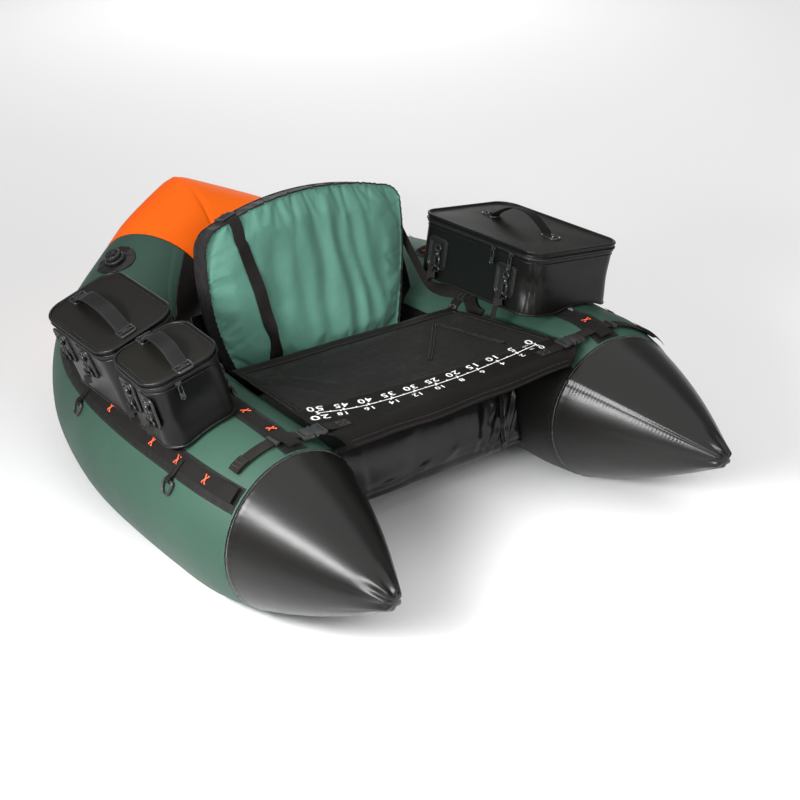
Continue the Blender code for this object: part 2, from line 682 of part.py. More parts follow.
xs = [LS_X, LS_X, LS_X, LS_X, LS_X, LS_X + 0.010, LS_X + 0.004, LS_X + 0.006, LS_X + 0.014, LS_X + 0.022]
rows = []
for k, ((y, z, yaw), x) in enumerate(zip(ls, xs)):
    c, sn = math.cos(math.radians(yaw)) * STRAP / 2, math.sin(math.radians(yaw)) * STRAP / 2
    dz = math.tan(math.radians(tilt)) * STRAP / 2 if k < 5 else 0.0
    rows.append(((x - c, y - sn, z - dz), (x + c, y + sn, z + dz)))
bm = bmesh.new()
ribbon(bm, rows)
solidify(add("left_backrest_strap", finish(bm, "strap"), BLACK_WEB, 0.8, parent=back), STRAP_T, 0.0)

# right strap: from the side of the backrest down to its buckle on the pontoon
BUCKLE_S = s_at_y(-0.020)
bx, by, bz = surface(1, BUCKLE_S, -36.0, 0.0)
bn = Vector(surface(1, BUCKLE_S, -33.0, 0.01)) - Vector(surface(1, BUCKLE_S, -33.0, 0.0))
bn.normalize()
bl = Vector((0, 1, 0))
bw = bl.cross(bn).normalized()
bframe = Matrix.Translation(Vector(surface(1, BUCKLE_S, -33.0, 0.0045))) @ Matrix((bw, bl, bn)).transposed().to_4x4()
bm = bmesh.new()
block(bm, (0.034, 0.040, 0.0065), (0, 0, 0.0), bevel=0.0014)
bmesh.ops.transform(bm, matrix=bframe, verts=bm.verts)
add("right_strap_buckle", finish(bm, "buckle"), (26, 25, 24), 0.4)
start = bframe @ Vector((0, 0.0225, 0.0010))
rows = []
track = [(tuple(start), 0.0), ((0.2640, 0.0130, 0.3085), 0.30), ((0.2360, 0.0260, 0.3230), 0.85), ((0.2325, 0.0600, 0.3600), 1.0), ((0.2350, 0.1180, 0.4140), 1.0), ((0.2376, 0.1500, 0.4380), 1.0)]
for (x, y, z), f in track:
    w = Vector(bw).lerp(Vector((0.0, -0.62, 0.78)), f).normalized() * (STRAP / 2)
    c = Vector((x, y, z))
    rows.append((tuple(c - w), tuple(c + w)))
bm = bmesh.new()
ribbon(bm, rows)
solidify(add("right_backrest_strap", finish(bm, "strap"), BLACK_WEB, 0.8), STRAP_T, 0.0)

# ------------------------------------------------------------------ apron
APRON_T = 0.0020


def apron_point(u, v, z=APRON_Z):
    """u from the left edge to the right, v from the rear edge to the front."""
    (ax, ay), (bx_, by_) = APRON_REAR
    (cx, cy), (dx, dy) = APRON_FRONT
    rear = (ax + (bx_ - ax) * u, ay + (by_ - ay) * u)
    front = (cx + (dx - cx) * u, cy + (dy - cy) * u)
    return (rear[0] + (front[0] - rear[0]) * v, rear[1] + (front[1] - rear[1]) * v, z)


FLAP = [(0.0, 0.0), (0.5, 0.0), (1.0, 0.0), (1.0, 0.010), (1.0, 0.022), (1.0, 0.034)]
FLAP_DROP = [0.0, 0.0, 0.0, 0.004, 0.013, 0.026]
bm = bmesh.new()


def apron_place(i, j):
    u = j / 2
    v, ahead = FLAP[i]
    x, y, z = apron_point(u, v)
    inset = 0.0 if ahead == 0.0 else 0.020 * ahead / 0.034 * (1 - 2 * u)
    return (x + inset, y - ahead * (0.70 if ahead > 0.03 else 1.0), z - FLAP_DROP[i])


grid(bm, len(FLAP) - 1, 2, apron_place)
hinge = (APRON_HINGE[0], -0.200, APRON_HINGE[1])
apron_frame = empty("apron_hinge", ROOT, hinge)
bmesh.ops.translate(bm, verts=bm.verts, vec=-Vector(hinge))
apron = add("apron_panel", finish(bm, "apron_panel"), (38, 37, 36), 0.7, parent=apron_frame)
solidify(apron, APRON_T, 0.0)

# ruler strip sewn on the apron: 0 at the right, 50 cm at the left
RULER = ((0.272, -0.335), (-0.276, -0.290))
bm = bmesh.new()
r0, r1 = Vector((*RULER[0], 0)), Vector((*RULER[1], 0))
mid, run = (r0 + r1) / 2, (r1 - r0)
block(bm, (run.length, 0.046, 0.0010), (0, 0, 0))
yaw = math.atan2(run.y, run.x)
bmesh.ops.rotate(bm, verts=bm.verts, cent=(0, 0, 0), matrix=Matrix.Rotation(yaw, 3, "Z"))
bmesh.ops.translate(bm, verts=bm.verts, vec=Vector((mid.x, mid.y, APRON_Z + APRON_T / 2 + GAP + 0.0005)) - Vector(hinge))
add("ruler_strip", finish(bm, "ruler_strip"), (24, 24, 24), 0.6, parent=apron_frame)

# front buckles: the left pair stays clipped and carries the hinge line, the right pair parts
TAB_Z = APRON_Z + APRON_T / 2 + GAP
BUCKLE_Y = -0.343
BUCKLE_Z = 0.3147
BUCKLE_W = 0.034
for hand, x0, x1 in (("left", -0.2785, -0.2340), ("right", 0.2150, 0.2640)):
    bm = bmesh.new()
    block(bm, (x1 - x0, STRAP, 0.0018), ((x0 + x1) / 2 - hinge[0], BUCKLE_Y - hinge[1], TAB_Z + 0.0023 - hinge[2]))
    add("apron_%s_tab" % hand, finish(bm, "tab"), BLACK_WEB, 0.8, parent=apron_frame)

for name, x0, x1, thick, parent in (
    ("left_apron_plug", -0.3060, -0.2870, 0.0060, None),
    ("left_apron_socket", -0.3368, -0.3063, 0.0080, None),
    ("right_apron_plug", 0.2700, 0.2915, 0.0060, apron_frame),
    ("right_apron_socket", 0.2920, 0.3220, 0.0080, None),
):
    off = Vector(hinge) if parent else Vector((0, 0, 0))
    bm = bmesh.new()
    block(bm, (x1 - x0, BUCKLE_W, thick), Vector(((x0 + x1) / 2, BUCKLE_Y, BUCKLE_Z + 0.0022)) - off, bevel=0.0015, segments=2)
    add(name, finish(bm, name), (26, 25, 24), 0.4, parent=parent)

# straps from the two sockets, over the crown of each pontoon
STRAP_OFF = 0.0042
strap_s = s_at_y(BUCKLE_Y)
for side, hand, x0, d0, d1 in ((-1, "left", -0.3376, -16.3, 32.0), (1, "right", 0.3225, -17.0, 27.0)):
    rows = across_rows(side, strap_s, d0, d1, STRAP, STRAP_OFF)
    first = ((x0, rows[0][0][1], BUCKLE_Z + 0.0022), (x0, rows[0][1][1], BUCKLE_Z + 0.0022))
    bm = bmesh.new()
    ribbon(bm, [first] + rows)
    solidify(add(hand + "_apron_strap", finish(bm, "strap"), BLACK_WEB, 0.8), STRAP_T, 0.0)


# ------------------------------------------------------------------ tackle bags
def prism(bm, prof, half, frame):
    """A profile in (depth, height) swept from -half to half, then placed by a matrix."""
    ends = [[bm.verts.new((t, d, z)) for d, z in prof] for t in (-half, half)]
    bm.faces.new(ends[0])
    bm.faces.new(ends[1])
    for a in range(len(prof)):
        b = (a + 1) % len(prof)
        bm.faces.new((ends[0][a], ends[0][b], ends[1][b], ends[1][a]))
    bmesh.ops.recalc_face_normals(bm, faces=bm.faces)
    bmesh.ops.transform(bm, matrix=frame, verts=bm.verts)
    return bm


HOOK = [(-0.0030, 0.007), (0.0085, 0.007), (0.0115, 0.004), (0.0115, -0.014), (0.0085, -0.014), (0.0085, -0.001), (-0.0030, -0.001)]
PLATE = [(-0.0010, -0.033), (0.0012, -0.033), (0.0025, -0.0315), (0.0025, 0.0315), (0.0012, 0.033), (-0.0010, 0.033)]
TAIL = [(-0.0010, -0.0310), (-0.0010, -0.0470), (0.0016, -0.0470), (0.0016, -0.0310)]
EXTRAS = {
    "right_bag": dict(face=-1, plates=(0.105, -0.088), hooks=(0.120, -0.077), z=0.036, peak=0.034),
    "left_front_bag": dict(face=-1, plates=(0.037, -0.037), hooks=(0.052, -0.022), z=0.068, peak=0.028),
    "left_rear_bag": dict(face=-1, plates=(0.080, -0.006), hooks=(0.094, 0.010), z=0.080, peak=0.030),
}
SLIDER = (0.012, 0.0070, 0.0090)   # along the zip, out from the wall, height
SADDLE = 0.0040                    # bag floor above the pontoon, clear of the webbing


def saddle(name, side, grow):
    """The pontoon's shape, grown, to cut a bag's underside with."""
    bm = bmesh.new()

    def place(i, j):
        p = ring_vertex(STATIONS[i], j % SIDES, -grow)
        return (side * p[0], p[1], p[2])

    grid(bm, len(STATIONS) - 1, SIDES, place, closed=True)
    bmesh.ops.holes_fill(bm, edges=[q for q in bm.edges if q.is_boundary], sides=SIDES)
    bmesh.ops.recalc_face_normals(bm, faces=bm.faces)
    return cutter(name, finish(bm, name))


under_left, under_right = saddle("under_left", -1, SADDLE), saddle("under_right", 1, SADDLE)
floor_left, floor_right = saddle("floor_left", -1, SADDLE + BAG_WALL), saddle("floor_right", 1, SADDLE + BAG_WALL)

for name, b in BAGS.items():
    side, w, l, h, u = b["side"], b["w"], b["l"], b["h"] - LID_T, b["u"]
    e = EXTRAS[name]
    c = frame_at(s_at_y(b["y"]))[0]
    frame = empty(name + "_frame", ROOT, (side * c[0], b["y"], AXIS_Z), (0, b["tilt"], b["yaw"]))
    # moulded tub, open at the top
    bm = bmesh.new()
    bottom = BAG_FLOOR - b["drop"]
    block(bm, (w, l, h + b["drop"]), (u, 0, (bottom + BAG_FLOOR + h) / 2), bevel=BAG_RADIUS, segments=3, vertical=True)
    low = [q for q in bm.edges if all(v.co.z < bottom + 1e-5 for v in q.verts)]
    bmesh.ops.bevel(bm, geom=low, offset=0.006, segments=2, profile=0.5, affect="EDGES")
    tub = add(name + "_body", finish(bm, "tub"), (50, 49, 50), 0.45, parent=frame)
    cut(tub, under_left if side < 0 else under_right)
    bm = bmesh.new()
    low, high = bottom + BAG_WALL, BAG_FLOOR + h + 0.010
    block(bm, (w - 2 * BAG_WALL, l - 2 * BAG_WALL, high - low), (u, 0, (low + high) / 2), bevel=BAG_RADIUS - BAG_WALL, segments=3, vertical=True)
    cavity = cutter(name + "_cavity", finish(bm, "cavity"), parent=frame)
    cut(cavity, floor_left if side < 0 else floor_right)
    cut(tub, cavity)
    # strap plates, each with a webbing tail below it, and the hooks beside them
    wall_x = u + e["face"] * w / 2
    for k, y in enumerate(e["plates"]):
        m = Matrix.Translation((wall_x, y, BAG_FLOOR + e["z"])) @ Matrix(((0, e["face"], 0), (-e["face"], 0, 0), (0, 0, 1))).to_4x4()
        for what, prof, half in (("plate", PLATE, 0.0265), ("tail", TAIL, 0.0125)):
            tool = helper("%s_%s_%d" % (name, what, k), prism(bmesh.new(), prof, half, m))
            tool.parent = frame
            join(tub, tool)
    for k, y in enumerate(e["hooks"]):
        m = Matrix.Translation((wall_x + e["face"] * 0.0020, y, BAG_FLOOR + e["z"] + 0.006)) @ Matrix(((0, e["face"], 0), (-e["face"], 0, 0), (0, 0, 1))).to_4x4()
        tool = helper("%s_hook_%d" % (name, k), prism(bmesh.new(), HOOK, 0.0110, m))
        tool.parent = frame
        join(tub, tool)

    # lid: a shallow moulded cap hinged along the outboard edge
    lw, ll = w + 2 * LID_OVER, l + 2 * LID_OVER
    pivot = (u + side * lw / 2, 0, BAG_FLOOR + h)
    lid_frame = empty(name + "_lid_hinge", frame, pivot)
    bm = bmesh.new()
    mid = -side * lw / 2
    block(bm, (lw, ll, LID_T - GAP), (mid, 0, (LID_T + GAP) / 2), bevel=BAG_RADIUS, segments=3, vertical=True)
    high = [q for q in bm.edges if all(v.co.z > LID_T - 1e-5 for v in q.verts)]
    bmesh.ops.bevel(bm, geom=high, offset=0.004, segments=2, profile=0.5, affect="EDGES")
    lid = add(name + "_lid", finish(bm, "lid"), (44, 45, 40), 0.5, parent=lid_frame)
    bm = bmesh.new()
    block(bm, (w - 2 * BAG_WALL, l - 2 * BAG_WALL, LID_T), (mid, 0, LID_T / 2 - 0.0040), bevel=BAG_RADIUS - BAG_WALL, segments=3, vertical=True)
    cut(lid, cutter(name + "_lid_hollow", finish(bm, "hollow"), parent=lid_frame))

    # carrying handle on the lid
    y0, y1 = b["handle"]
    ym, pk, t = (y0 + y1) / 2, e["peak"], 0.0015 + GAP
    q = (y1 - y0) / 2
    track = [(y0 - 0.012, t), (y0 + 0.008, t), (y0 + 0.018, 0.30 * pk), (ym - 0.45 * q, 0.84 * pk), (ym, pk), (ym + 0.45 * q, 0.84 * pk), (y1 - 0.018, 0.30 * pk), (y1 - 0.008, t), (y1 + 0.012, t)]
    bm = bmesh.new()
    hx = mid + b["across"]
    ribbon(bm, [((hx - 0.0125, y, LID_T + z), (hx + 0.0125, y, LID_T + z)) for y, z in track])
    solidify(add(name + "_handle", finish(bm, "handle"), BLACK_WEB, 0.5, parent=lid_frame), 0.0030, 0.0)

    # zip slider under the lid's edge, and its pull
    kind, at = b["slider"]
    if kind == "in":
        place = Matrix.Translation((u - side * w / 2, at, BAG_FLOOR + h)) @ Matrix(((0, -side, 0), (side, 0, 0), (0, 0, 1))).to_4x4()
    else:
        place = Matrix.Translation((u + at, -l / 2, BAG_FLOOR + h)) @ Matrix(((-1, 0, 0), (0, -1, 0), (0, 0, 1))).to_4x4()
    run, deep, tall = SLIDER
    slide = empty(name + "_zip_frame", frame)
    slide.matrix_local = place
    bm = bmesh.new()
    block(bm, (run, deep, tall), (0, 0.0006 + deep / 2, -0.0006 - tall / 2), bevel=0.0012)
    add(name + "_zip_slider", finish(bm, "slider"), (24, 24, 24), 0.35, 0.3, parent=slide)
    pull = empty(name + "_pull_hinge", slide, (0, 0.0056, -0.0006 - tall - 0.0018))
    bm = bmesh.new()
    block(bm, (0.0065, 0.0020, 0.0270), (0, 0, -0.0125), bevel=0.0006)
    add(name + "_zip_pull", finish(bm, "pull"), (24, 24, 24), 0.4, parent=pull)

# ------------------------------------------------------------------ origin
bpy.context.view_layer.update()
graph = bpy.context.evaluated_depsgraph_get()
low, high = np.full(3, 1e9), np.full(3, -1e9)
for ob in PARTS.objects:
    if ob.type == "EMPTY":
        continue
    ev = ob.evaluated_get(graph)
    me = ev.to_mesh()
    co = np.empty(len(me.vertices) * 3)
    me.vertices.foreach_get("co", co)
    m = np.array(ev.matrix_world)
    co = co.reshape(-1, 3) @ m[:3, :3].T + m[:3, 3]
    low, high = np.minimum(low, co.min(0)), np.maximum(high, co.max(0))
    ev.to_mesh_clear()
ROOT.location = (-(low[0] + high[0]) / 2, -(low[1] + high[1]) / 2, -low[2])
bpy.context.view_layer.update()
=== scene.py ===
"""Looks of the float tube: finished surfaces, webbing, cloth and moulded bags around the fixed frame."""
import bpy
import bmesh
import math
import numpy as np
from mathutils import Vector, Matrix, Euler, noise


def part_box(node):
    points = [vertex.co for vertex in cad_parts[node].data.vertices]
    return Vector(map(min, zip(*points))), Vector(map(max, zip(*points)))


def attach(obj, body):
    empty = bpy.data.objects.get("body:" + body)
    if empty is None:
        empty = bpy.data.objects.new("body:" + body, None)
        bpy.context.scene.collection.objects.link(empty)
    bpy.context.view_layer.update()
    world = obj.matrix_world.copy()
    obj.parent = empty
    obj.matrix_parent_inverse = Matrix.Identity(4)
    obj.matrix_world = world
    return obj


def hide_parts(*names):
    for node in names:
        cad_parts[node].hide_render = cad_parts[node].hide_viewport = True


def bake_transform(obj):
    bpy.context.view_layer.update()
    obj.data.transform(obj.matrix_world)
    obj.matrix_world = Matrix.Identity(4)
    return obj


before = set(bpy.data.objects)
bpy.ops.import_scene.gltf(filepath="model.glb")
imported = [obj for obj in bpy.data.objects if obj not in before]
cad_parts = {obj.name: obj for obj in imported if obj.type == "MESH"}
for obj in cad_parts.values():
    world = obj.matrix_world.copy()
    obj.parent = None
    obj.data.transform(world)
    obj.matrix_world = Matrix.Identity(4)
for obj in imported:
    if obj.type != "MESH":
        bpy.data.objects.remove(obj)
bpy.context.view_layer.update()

# ------------------------------------------------------------------ the part's own constants
O = np.array([0.00295, -0.01343, 0.0])      # from the part's construction axes to its frame
R0 = 0.167
AXIS_Z = 0.161
AXIS = [
    (0.381, -0.382, 0.161, 0.915), (0.3885, -0.300, 0.161, 0.985), (0.3905, -0.200, 0.161, 1.000), (0.3905, -0.060, 0.161, 1.000),
    (0.3790, 0.090, 0.161, 0.994), (0.3530, 0.245, 0.166, 0.915), (0.3050, 0.378, 0.185, 0.806), (0.2400, 0.452, 0.210, 0.775),
    (0.1200, 0.531, 0.258, 0.775), (0.0000, 0.610, 0.306, 0.775),
]
TIP = np.array((0.385, -0.674, 0.172))
TIP_R = 0.021
BAG_FLOOR, LID_T, LID_OVER, BAG_RADIUS, BAG_WALL = 0.1705, 0.015, 0.0045, 0.030, 0.003
BAGS = {
    "right_bag": dict(side=1, y=-0.073, u=-0.0395, tilt=9.7, yaw=5.4, w=0.250, l=0.327, h=0.1113, drop=0.026, handle=(-0.072, 0.086), across=0.006, slider=("in", -0.050), peak=0.034, plates=(0.105, -0.088), hooks=(0.120, -0.077), z=0.036),
    "left_front_bag": dict(side=-1, y=-0.1600, u=-0.017, tilt=-15.0, yaw=-3.1, w=0.146, l=0.153, h=0.136, drop=0.010, handle=(-0.066, 0.066), across=0.0, slider=("front", -0.022), peak=0.028, plates=(0.037, -0.037), hooks=(0.052, -0.022), z=0.068),
    "left_rear_bag": dict(side=-1, y=0.0475, u=-0.001, tilt=-18.8, yaw=-0.7, w=0.157, l=0.230, h=0.143, drop=0.012, handle=(-0.084, 0.090), across=-0.012, slider=("in", -0.070), peak=0.030, plates=(0.080, -0.006), hooks=(0.094, 0.010), z=0.080),
}


def spline(rows, per):
    """Catmull-Rom through the rows, `per` steps a span."""
    p = np.array(rows, float)
    p = np.vstack([2 * p[0] - p[1], p, 2 * p[-1] - p[-2]])
    out = []
    for k in range(1, len(p) - 2):
        a, b, c, d = p[k - 1], p[k], p[k + 1], p[k + 2]
        for t in np.linspace(0, 1, per, endpoint=False):
            out.append(0.5 * ((2 * b) + (c - a) * t + (2 * a - 5 * b + 4 * c - d) * t * t + (3 * b - 3 * c + d - a) * t ** 3))
    out.append(p[-2])
    return np.array(out)


LINE = spline(AXIS, 40)
ARC = np.r_[0, np.cumsum(np.linalg.norm(np.diff(LINE[:, :3], axis=0), axis=1))]
LENGTH = float(ARC[-1])
SEAM = LENGTH - 0.152


def frames(S):
    S = np.atleast_1d(np.asarray(S, float))
    c = np.stack([np.interp(S, ARC, LINE[:, k]) for k in range(4)], 1)
    a = np.stack([np.interp(S - 0.012, ARC, LINE[:, k]) for k in range(3)], 1)
    b = np.stack([np.interp(S + 0.012, ARC, LINE[:, k]) for k in range(3)], 1)
    t = b - a
    t /= np.linalg.norm(t, axis=1)[:, None]
    out = np.cross(t, (0, 0, 1.0))
    out /= np.linalg.norm(out, axis=1)[:, None]
    up = np.cross(out, t)
    return c[:, :3], t, out, up, c[:, 3] * R0


def floor_soft(z, lift=0.0, k=0.006):
    """Presses what would reach under the floor flat, with a soft shoulder."""
    d = np.clip(z - lift, -1, k)
    return np.where(z - lift > k, z, lift + np.where(z - lift < -k, 0.0, (d + k) ** 2 / (4 * k)))


def pressed(S, D, side):
    """The strapped-down right bag flattens the pontoon's crown a little under and just ahead of itself."""
    if side < 0:
        return 0.0
    along = 1 / (1 + np.exp(-(np.asarray(S, float)[:, None] - 0.112) / 0.012)) * 1 / (1 + np.exp((np.asarray(S, float)[:, None] - 0.500) / 0.015))
    return 0.0100 * along * np.exp(-((D - 3.0) / 34.0) ** 2)


def tube(S, D, side=1, off=0.0):
    """Points and normals on the inflated pontoon: S along it, D in degrees from the crown, outboard positive.
    D and off may be arrays of len(S) by n."""
    c, t, o, u, r = frames(S)
    D = np.asarray(D, float)
    a = np.radians(D if D.ndim == 2 else np.broadcast_to(D, (len(c), len(np.atleast_1d(D)))))
    n = np.sin(a)[..., None] * o[:, None] + np.cos(a)[..., None] * u[:, None]
    off = np.broadcast_to(np.asarray(off, float), a.shape) - pressed(np.atleast_1d(S), np.degrees((a + math.pi) % (2 * math.pi) - math.pi), side)
    p = c[:, None] + (r[:, None] + off)[..., None] * n
    p[..., 2] = floor_soft(p[..., 2], 0.0004)
    m = np.array([side, 1, 1])
    return p * m, n * m


def cone_at(F, D, side=1, off=0.0):
    c, t, o, u, r = [x[0] for x in frames([0.0])]
    F = np.asarray(F, float)
    a = np.radians(np.broadcast_to(np.asarray(D, float), (len(F), len(np.atleast_1d(D)))))
    cc = c + (TIP - c) * F[:, None]
    rr = r + (TIP_R - r) * F + 0.010 * np.sin(np.pi * F)
    n = np.sin(a)[..., None] * o + np.cos(a)[..., None] * u
    p = cc[:, None] + (rr[:, None] + off)[..., None] * n
    m = np.array([side, 1, 1])
    return p * m, n * m


def s_at_y(y):
    return float(ARC[int(np.argmin(np.abs(LINE[:, 1] - y)))])


def rnd(seed):
    return np.random.default_rng(seed)


def smooth_noise(P, scale, seed=0.0):
    """Smooth noise at each point of an array of points, about -1 to 1."""
    flat = P.reshape(-1, 3) * scale + seed * 7.31
    return np.array([noise.noise(Vector(q)) for q in flat]).reshape(P.shape[:-1])


# ------------------------------------------------------------------ materials
def srgb(c):
    return tuple(((x / 255 + 0.055) / 1.055) ** 2.4 if x > 10 else x / 255 / 12.92 for x in c) + (1.0,)


class Mat:
    """A Principled material with a small set of node helpers."""

    def __init__(self, name, rgb, rough=0.5, metal=0.0, spec=0.5, sheen=0.0, coat=0.0, alpha=1.0):
        self.m = bpy.data.materials.new(name)
        self.m.use_nodes = True
        self.nt = self.m.node_tree
        self.p = self.nt.nodes["Principled BSDF"]
        self.rgb = srgb(rgb)
        i = self.p.inputs
        i["Base Color"].default_value = self.rgb
        i["Roughness"].default_value = rough
        i["Metallic"].default_value = metal
        i["Specular IOR Level"].default_value = spec
        i["Sheen Weight"].default_value = sheen
        i["Sheen Roughness"].default_value = 0.4
        i["Coat Weight"].default_value = coat
        i["Coat Roughness"].default_value = 0.22
        i["Alpha"].default_value = alpha
        self.rough = rough
        self.height = None

    def node(self, kind, **inputs):
        n = self.nt.nodes.new(kind)
        for k, v in inputs.items():
            self.put(n.inputs[k.replace("_", " ")], v)
        return n

    def put(self, socket, v):
        if isinstance(v, bpy.types.NodeSocket):
            self.nt.links.new(v, socket)
        else:
            socket.default_value = v

    def math(self, op, a, b=0.0, c=None, clamp=False):
        n = self.nt.nodes.new("ShaderNodeMath")
        n.operation = op
        n.use_clamp = clamp
        self.put(n.inputs[0], a)
        self.put(n.inputs[1], b)
        if c is not None:
            self.put(n.inputs[2], c)
        return n.outputs[0]

    def coord(self, what="Object"):
        return self.nt.nodes.new("ShaderNodeTexCoord").outputs[what]

    def noise(self, scale, detail=2.0, vec=None, rough=0.5, stretch=None):
        v = vec or self.coord()
        if stretch:
            mp = self.node("ShaderNodeMapping", Scale=stretch)
            self.nt.links.new(v, mp.inputs["Vector"])
            v = mp.outputs[0]
        n = self.node("ShaderNodeTexNoise", Scale=scale, Detail=detail, Roughness=rough)
        self.nt.links.new(v, n.inputs["Vector"])
        return n.outputs["Fac"]

    def split(self, vec):
        n = self.nt.nodes.new("ShaderNodeSeparateXYZ")
        self.nt.links.new(vec, n.inputs[0])
        return n.outputs

    def wave(self, x, period, phase=0.0):
        return self.math("SINE", self.math("MULTIPLY_ADD", x, 2 * math.pi / period, phase))

    def weave(self, pu, pv, vec=None, axes=(0, 1)):
        """A plain weave, -1 to 1: threads over and under, pu by pv metres."""
        s = self.split(vec or self.coord("UV"))
        return self.math("MULTIPLY", self.wave(s[axes[0]], pu), self.wave(s[axes[1]], pv))

    def tint(self, *layers):
        """Colour: the base, then each (fac socket, rgb, strength) laid over it."""
        col = None
        for fac, rgb, k in layers:
            mix = self.nt.nodes.new("ShaderNodeMix")
            mix.data_type = "RGBA"
            self.put(mix.inputs["Factor"], self.math("MULTIPLY", fac, k, clamp=True))
            if col is None:
                for q in mix.inputs:
                    if q.name == "A" and q.type == "RGBA":
                        q.default_value = self.rgb
                    if q.name == "B" and q.type == "RGBA":
                        q.default_value = srgb(rgb)
            else:
                for q in mix.inputs:
                    if q.name == "A" and q.type == "RGBA":
                        self.nt.links.new(col, q)
                    if q.name == "B" and q.type == "RGBA":
                        q.default_value = srgb(rgb)
            col = next(q for q in mix.outputs if q.type == "RGBA")
        self.nt.links.new(col, self.p.inputs["Base Color"])
        return self

    def vary_rough(self, fac, lo, hi):
        n = self.nt.nodes.new("ShaderNodeMapRange")
        self.put(n.inputs["Value"], fac)
        n.inputs["From Min"].default_value = 0.3
        n.inputs["From Max"].default_value = 0.7
        n.inputs["To Min"].default_value = lo
        n.inputs["To Max"].default_value = hi
        self.nt.links.new(n.outputs[0], self.p.inputs["Roughness"])
        return self

    def bump(self, *parts):
        """(height socket, height in metres) pairs."""
        total = None
        for h, amount in parts:
            h = self.math("MULTIPLY", h, amount)
            total = h if total is None else self.math("ADD", total, h)
        b = self.node("ShaderNodeBump", Strength=1.0, Distance=1.0)
        self.nt.links.new(total, b.inputs["Height"])
        self.nt.links.new(b.outputs[0], self.p.inputs["Normal"])
        return self


def ramp(m, fac, lo, hi):
    n = m.nt.nodes.new("ShaderNodeMapRange")
    m.put(n.inputs["Value"], fac)
    n.inputs["From Min"].default_value = lo
    n.inputs["From Max"].default_value = hi
    return n.outputs[0]


def coated(name, rgb, dark, rough, spread=0.10, weave=0.000022, period=0.0016, **k):
    """Coated tarpaulin: smooth film over a weave that just shows through, with soft clouding and fine dust."""
    m = Mat(name, rgb, rough, **k)
    cloud = m.noise(5.5, 3.0)
    fine = m.noise(160.0, 3.0)
    dust = ramp(m, m.noise(38.0, 6.0, rough=0.7), 0.62, 0.80)
    m.tint((ramp(m, cloud, 0.35, 0.75), dark, 0.55), (dust, tuple(min(255, c + 26) for c in rgb), 0.16))
    m.vary_rough(m.math("ADD", m.math("MULTIPLY", cloud, 0.6), m.math("MULTIPLY", fine, 0.4)), rough - spread / 2, rough + spread)
    m.bump((m.weave(period, period), weave), (fine, 0.00004), (m.noise(24.0, 2.0), 0.00035))
    return m.m


def webbing(name, rgb, light, rib=0.0023, cross=0.0017, deep=0.00016, rough=0.72):
    """Woven strap: ribs across it, warp threads along it, a little fuzz. UVs are metres along and across."""
    m = Mat(name, rgb, rough, sheen=0.02, spec=0.14)
    s = m.split(m.coord("UV"))
    chev = m.math("ABSOLUTE", m.math("SUBTRACT", m.math("FRACT", m.math("DIVIDE", s[1], 0.0062)), 0.5))
    ribs = m.wave(m.math("ADD", s[0], m.math("MULTIPLY", chev, 0.0030)), rib)
    warp = m.wave(s[1], cross)
    w = m.math("ADD", m.math("MULTIPLY", ribs, 0.65), m.math("MULTIPLY", warp, 0.35))
    fuzz = m.noise(420.0, 4.0)
    m.tint((ramp(m, w, -0.5, 1.0), light, 0.55), (ramp(m, m.noise(30.0, 4.0), 0.45, 0.8), light, 0.35))
    m.vary_rough(fuzz, rough - 0.08, min(1.0, rough + 0.12))
    m.bump((w, deep), (fuzz, 0.00016))
    return m.m


def nylon(name, rgb, dark, light, rough=0.62, period=0.00105, axes=(0, 2), sheen=0.35, deep=0.00006):
    """Packcloth: a fine basket weave, soft clouding, a cloth sheen."""
    m = Mat(name, rgb, rough, sheen=sheen, spec=0.22)
    w = m.weave(period, period, m.coord(), axes)
    slub = m.noise(260.0, 2.0, stretch=(1.0, 1.0, 0.12))
    m.tint((ramp(m, m.noise(7.0, 3.0), 0.35, 0.75), dark, 0.35), (ramp(m, w, 0.0, 1.0), light, 0.22), (ramp(m, slub, 0.55, 0.8), light, 0.20))
    m.vary_rough(m.noise(90.0, 3.0), rough - 0.08, rough + 0.10)
    m.bump((w, deep), (slub, 0.00010), (m.noise(700.0, 2.0), 0.00004))
    return m.m


def moulded(name, rgb, rough, light=None, metal=0.0, grain=0.00006, **k):
    """Injection-moulded plastic or painted metal: fine spark texture, and convex edges lightened as a painted
    highlight.
    """
    m = Mat(name, rgb, rough, metal, **k)
    light = light or tuple(min(255, c + 34) for c in rgb)
    g = m.nt.nodes.new("ShaderNodeNewGeometry")
    # painted highlight: convex edges, found by Pointiness, are lightened towards the light colour
    edge = ramp(m, g.outputs["Pointiness"], 0.52, 0.60)
    m.tint((ramp(m, m.noise(20.0, 3.0), 0.4, 0.8), light, 0.18), (edge, light, 0.45))
    m.vary_rough(m.noise(300.0, 3.0), rough - 0.06, rough + 0.12)
    m.bump((m.noise(900.0, 2.0), grain), (m.noise(80.0, 2.0), 0.00012))
    return m.m


def thread(name, rgb, rough=0.55):
    m = Mat(name, rgb, rough, sheen=0.3)
    w = m.noise(900.0, 2.0, stretch=(1, 1, 1))
    m.tint((ramp(m, w, 0.4, 0.7), tuple(int(c * 0.6) for c in rgb), 0.5))
    m.bump((w, 0.0002))
    return m.m


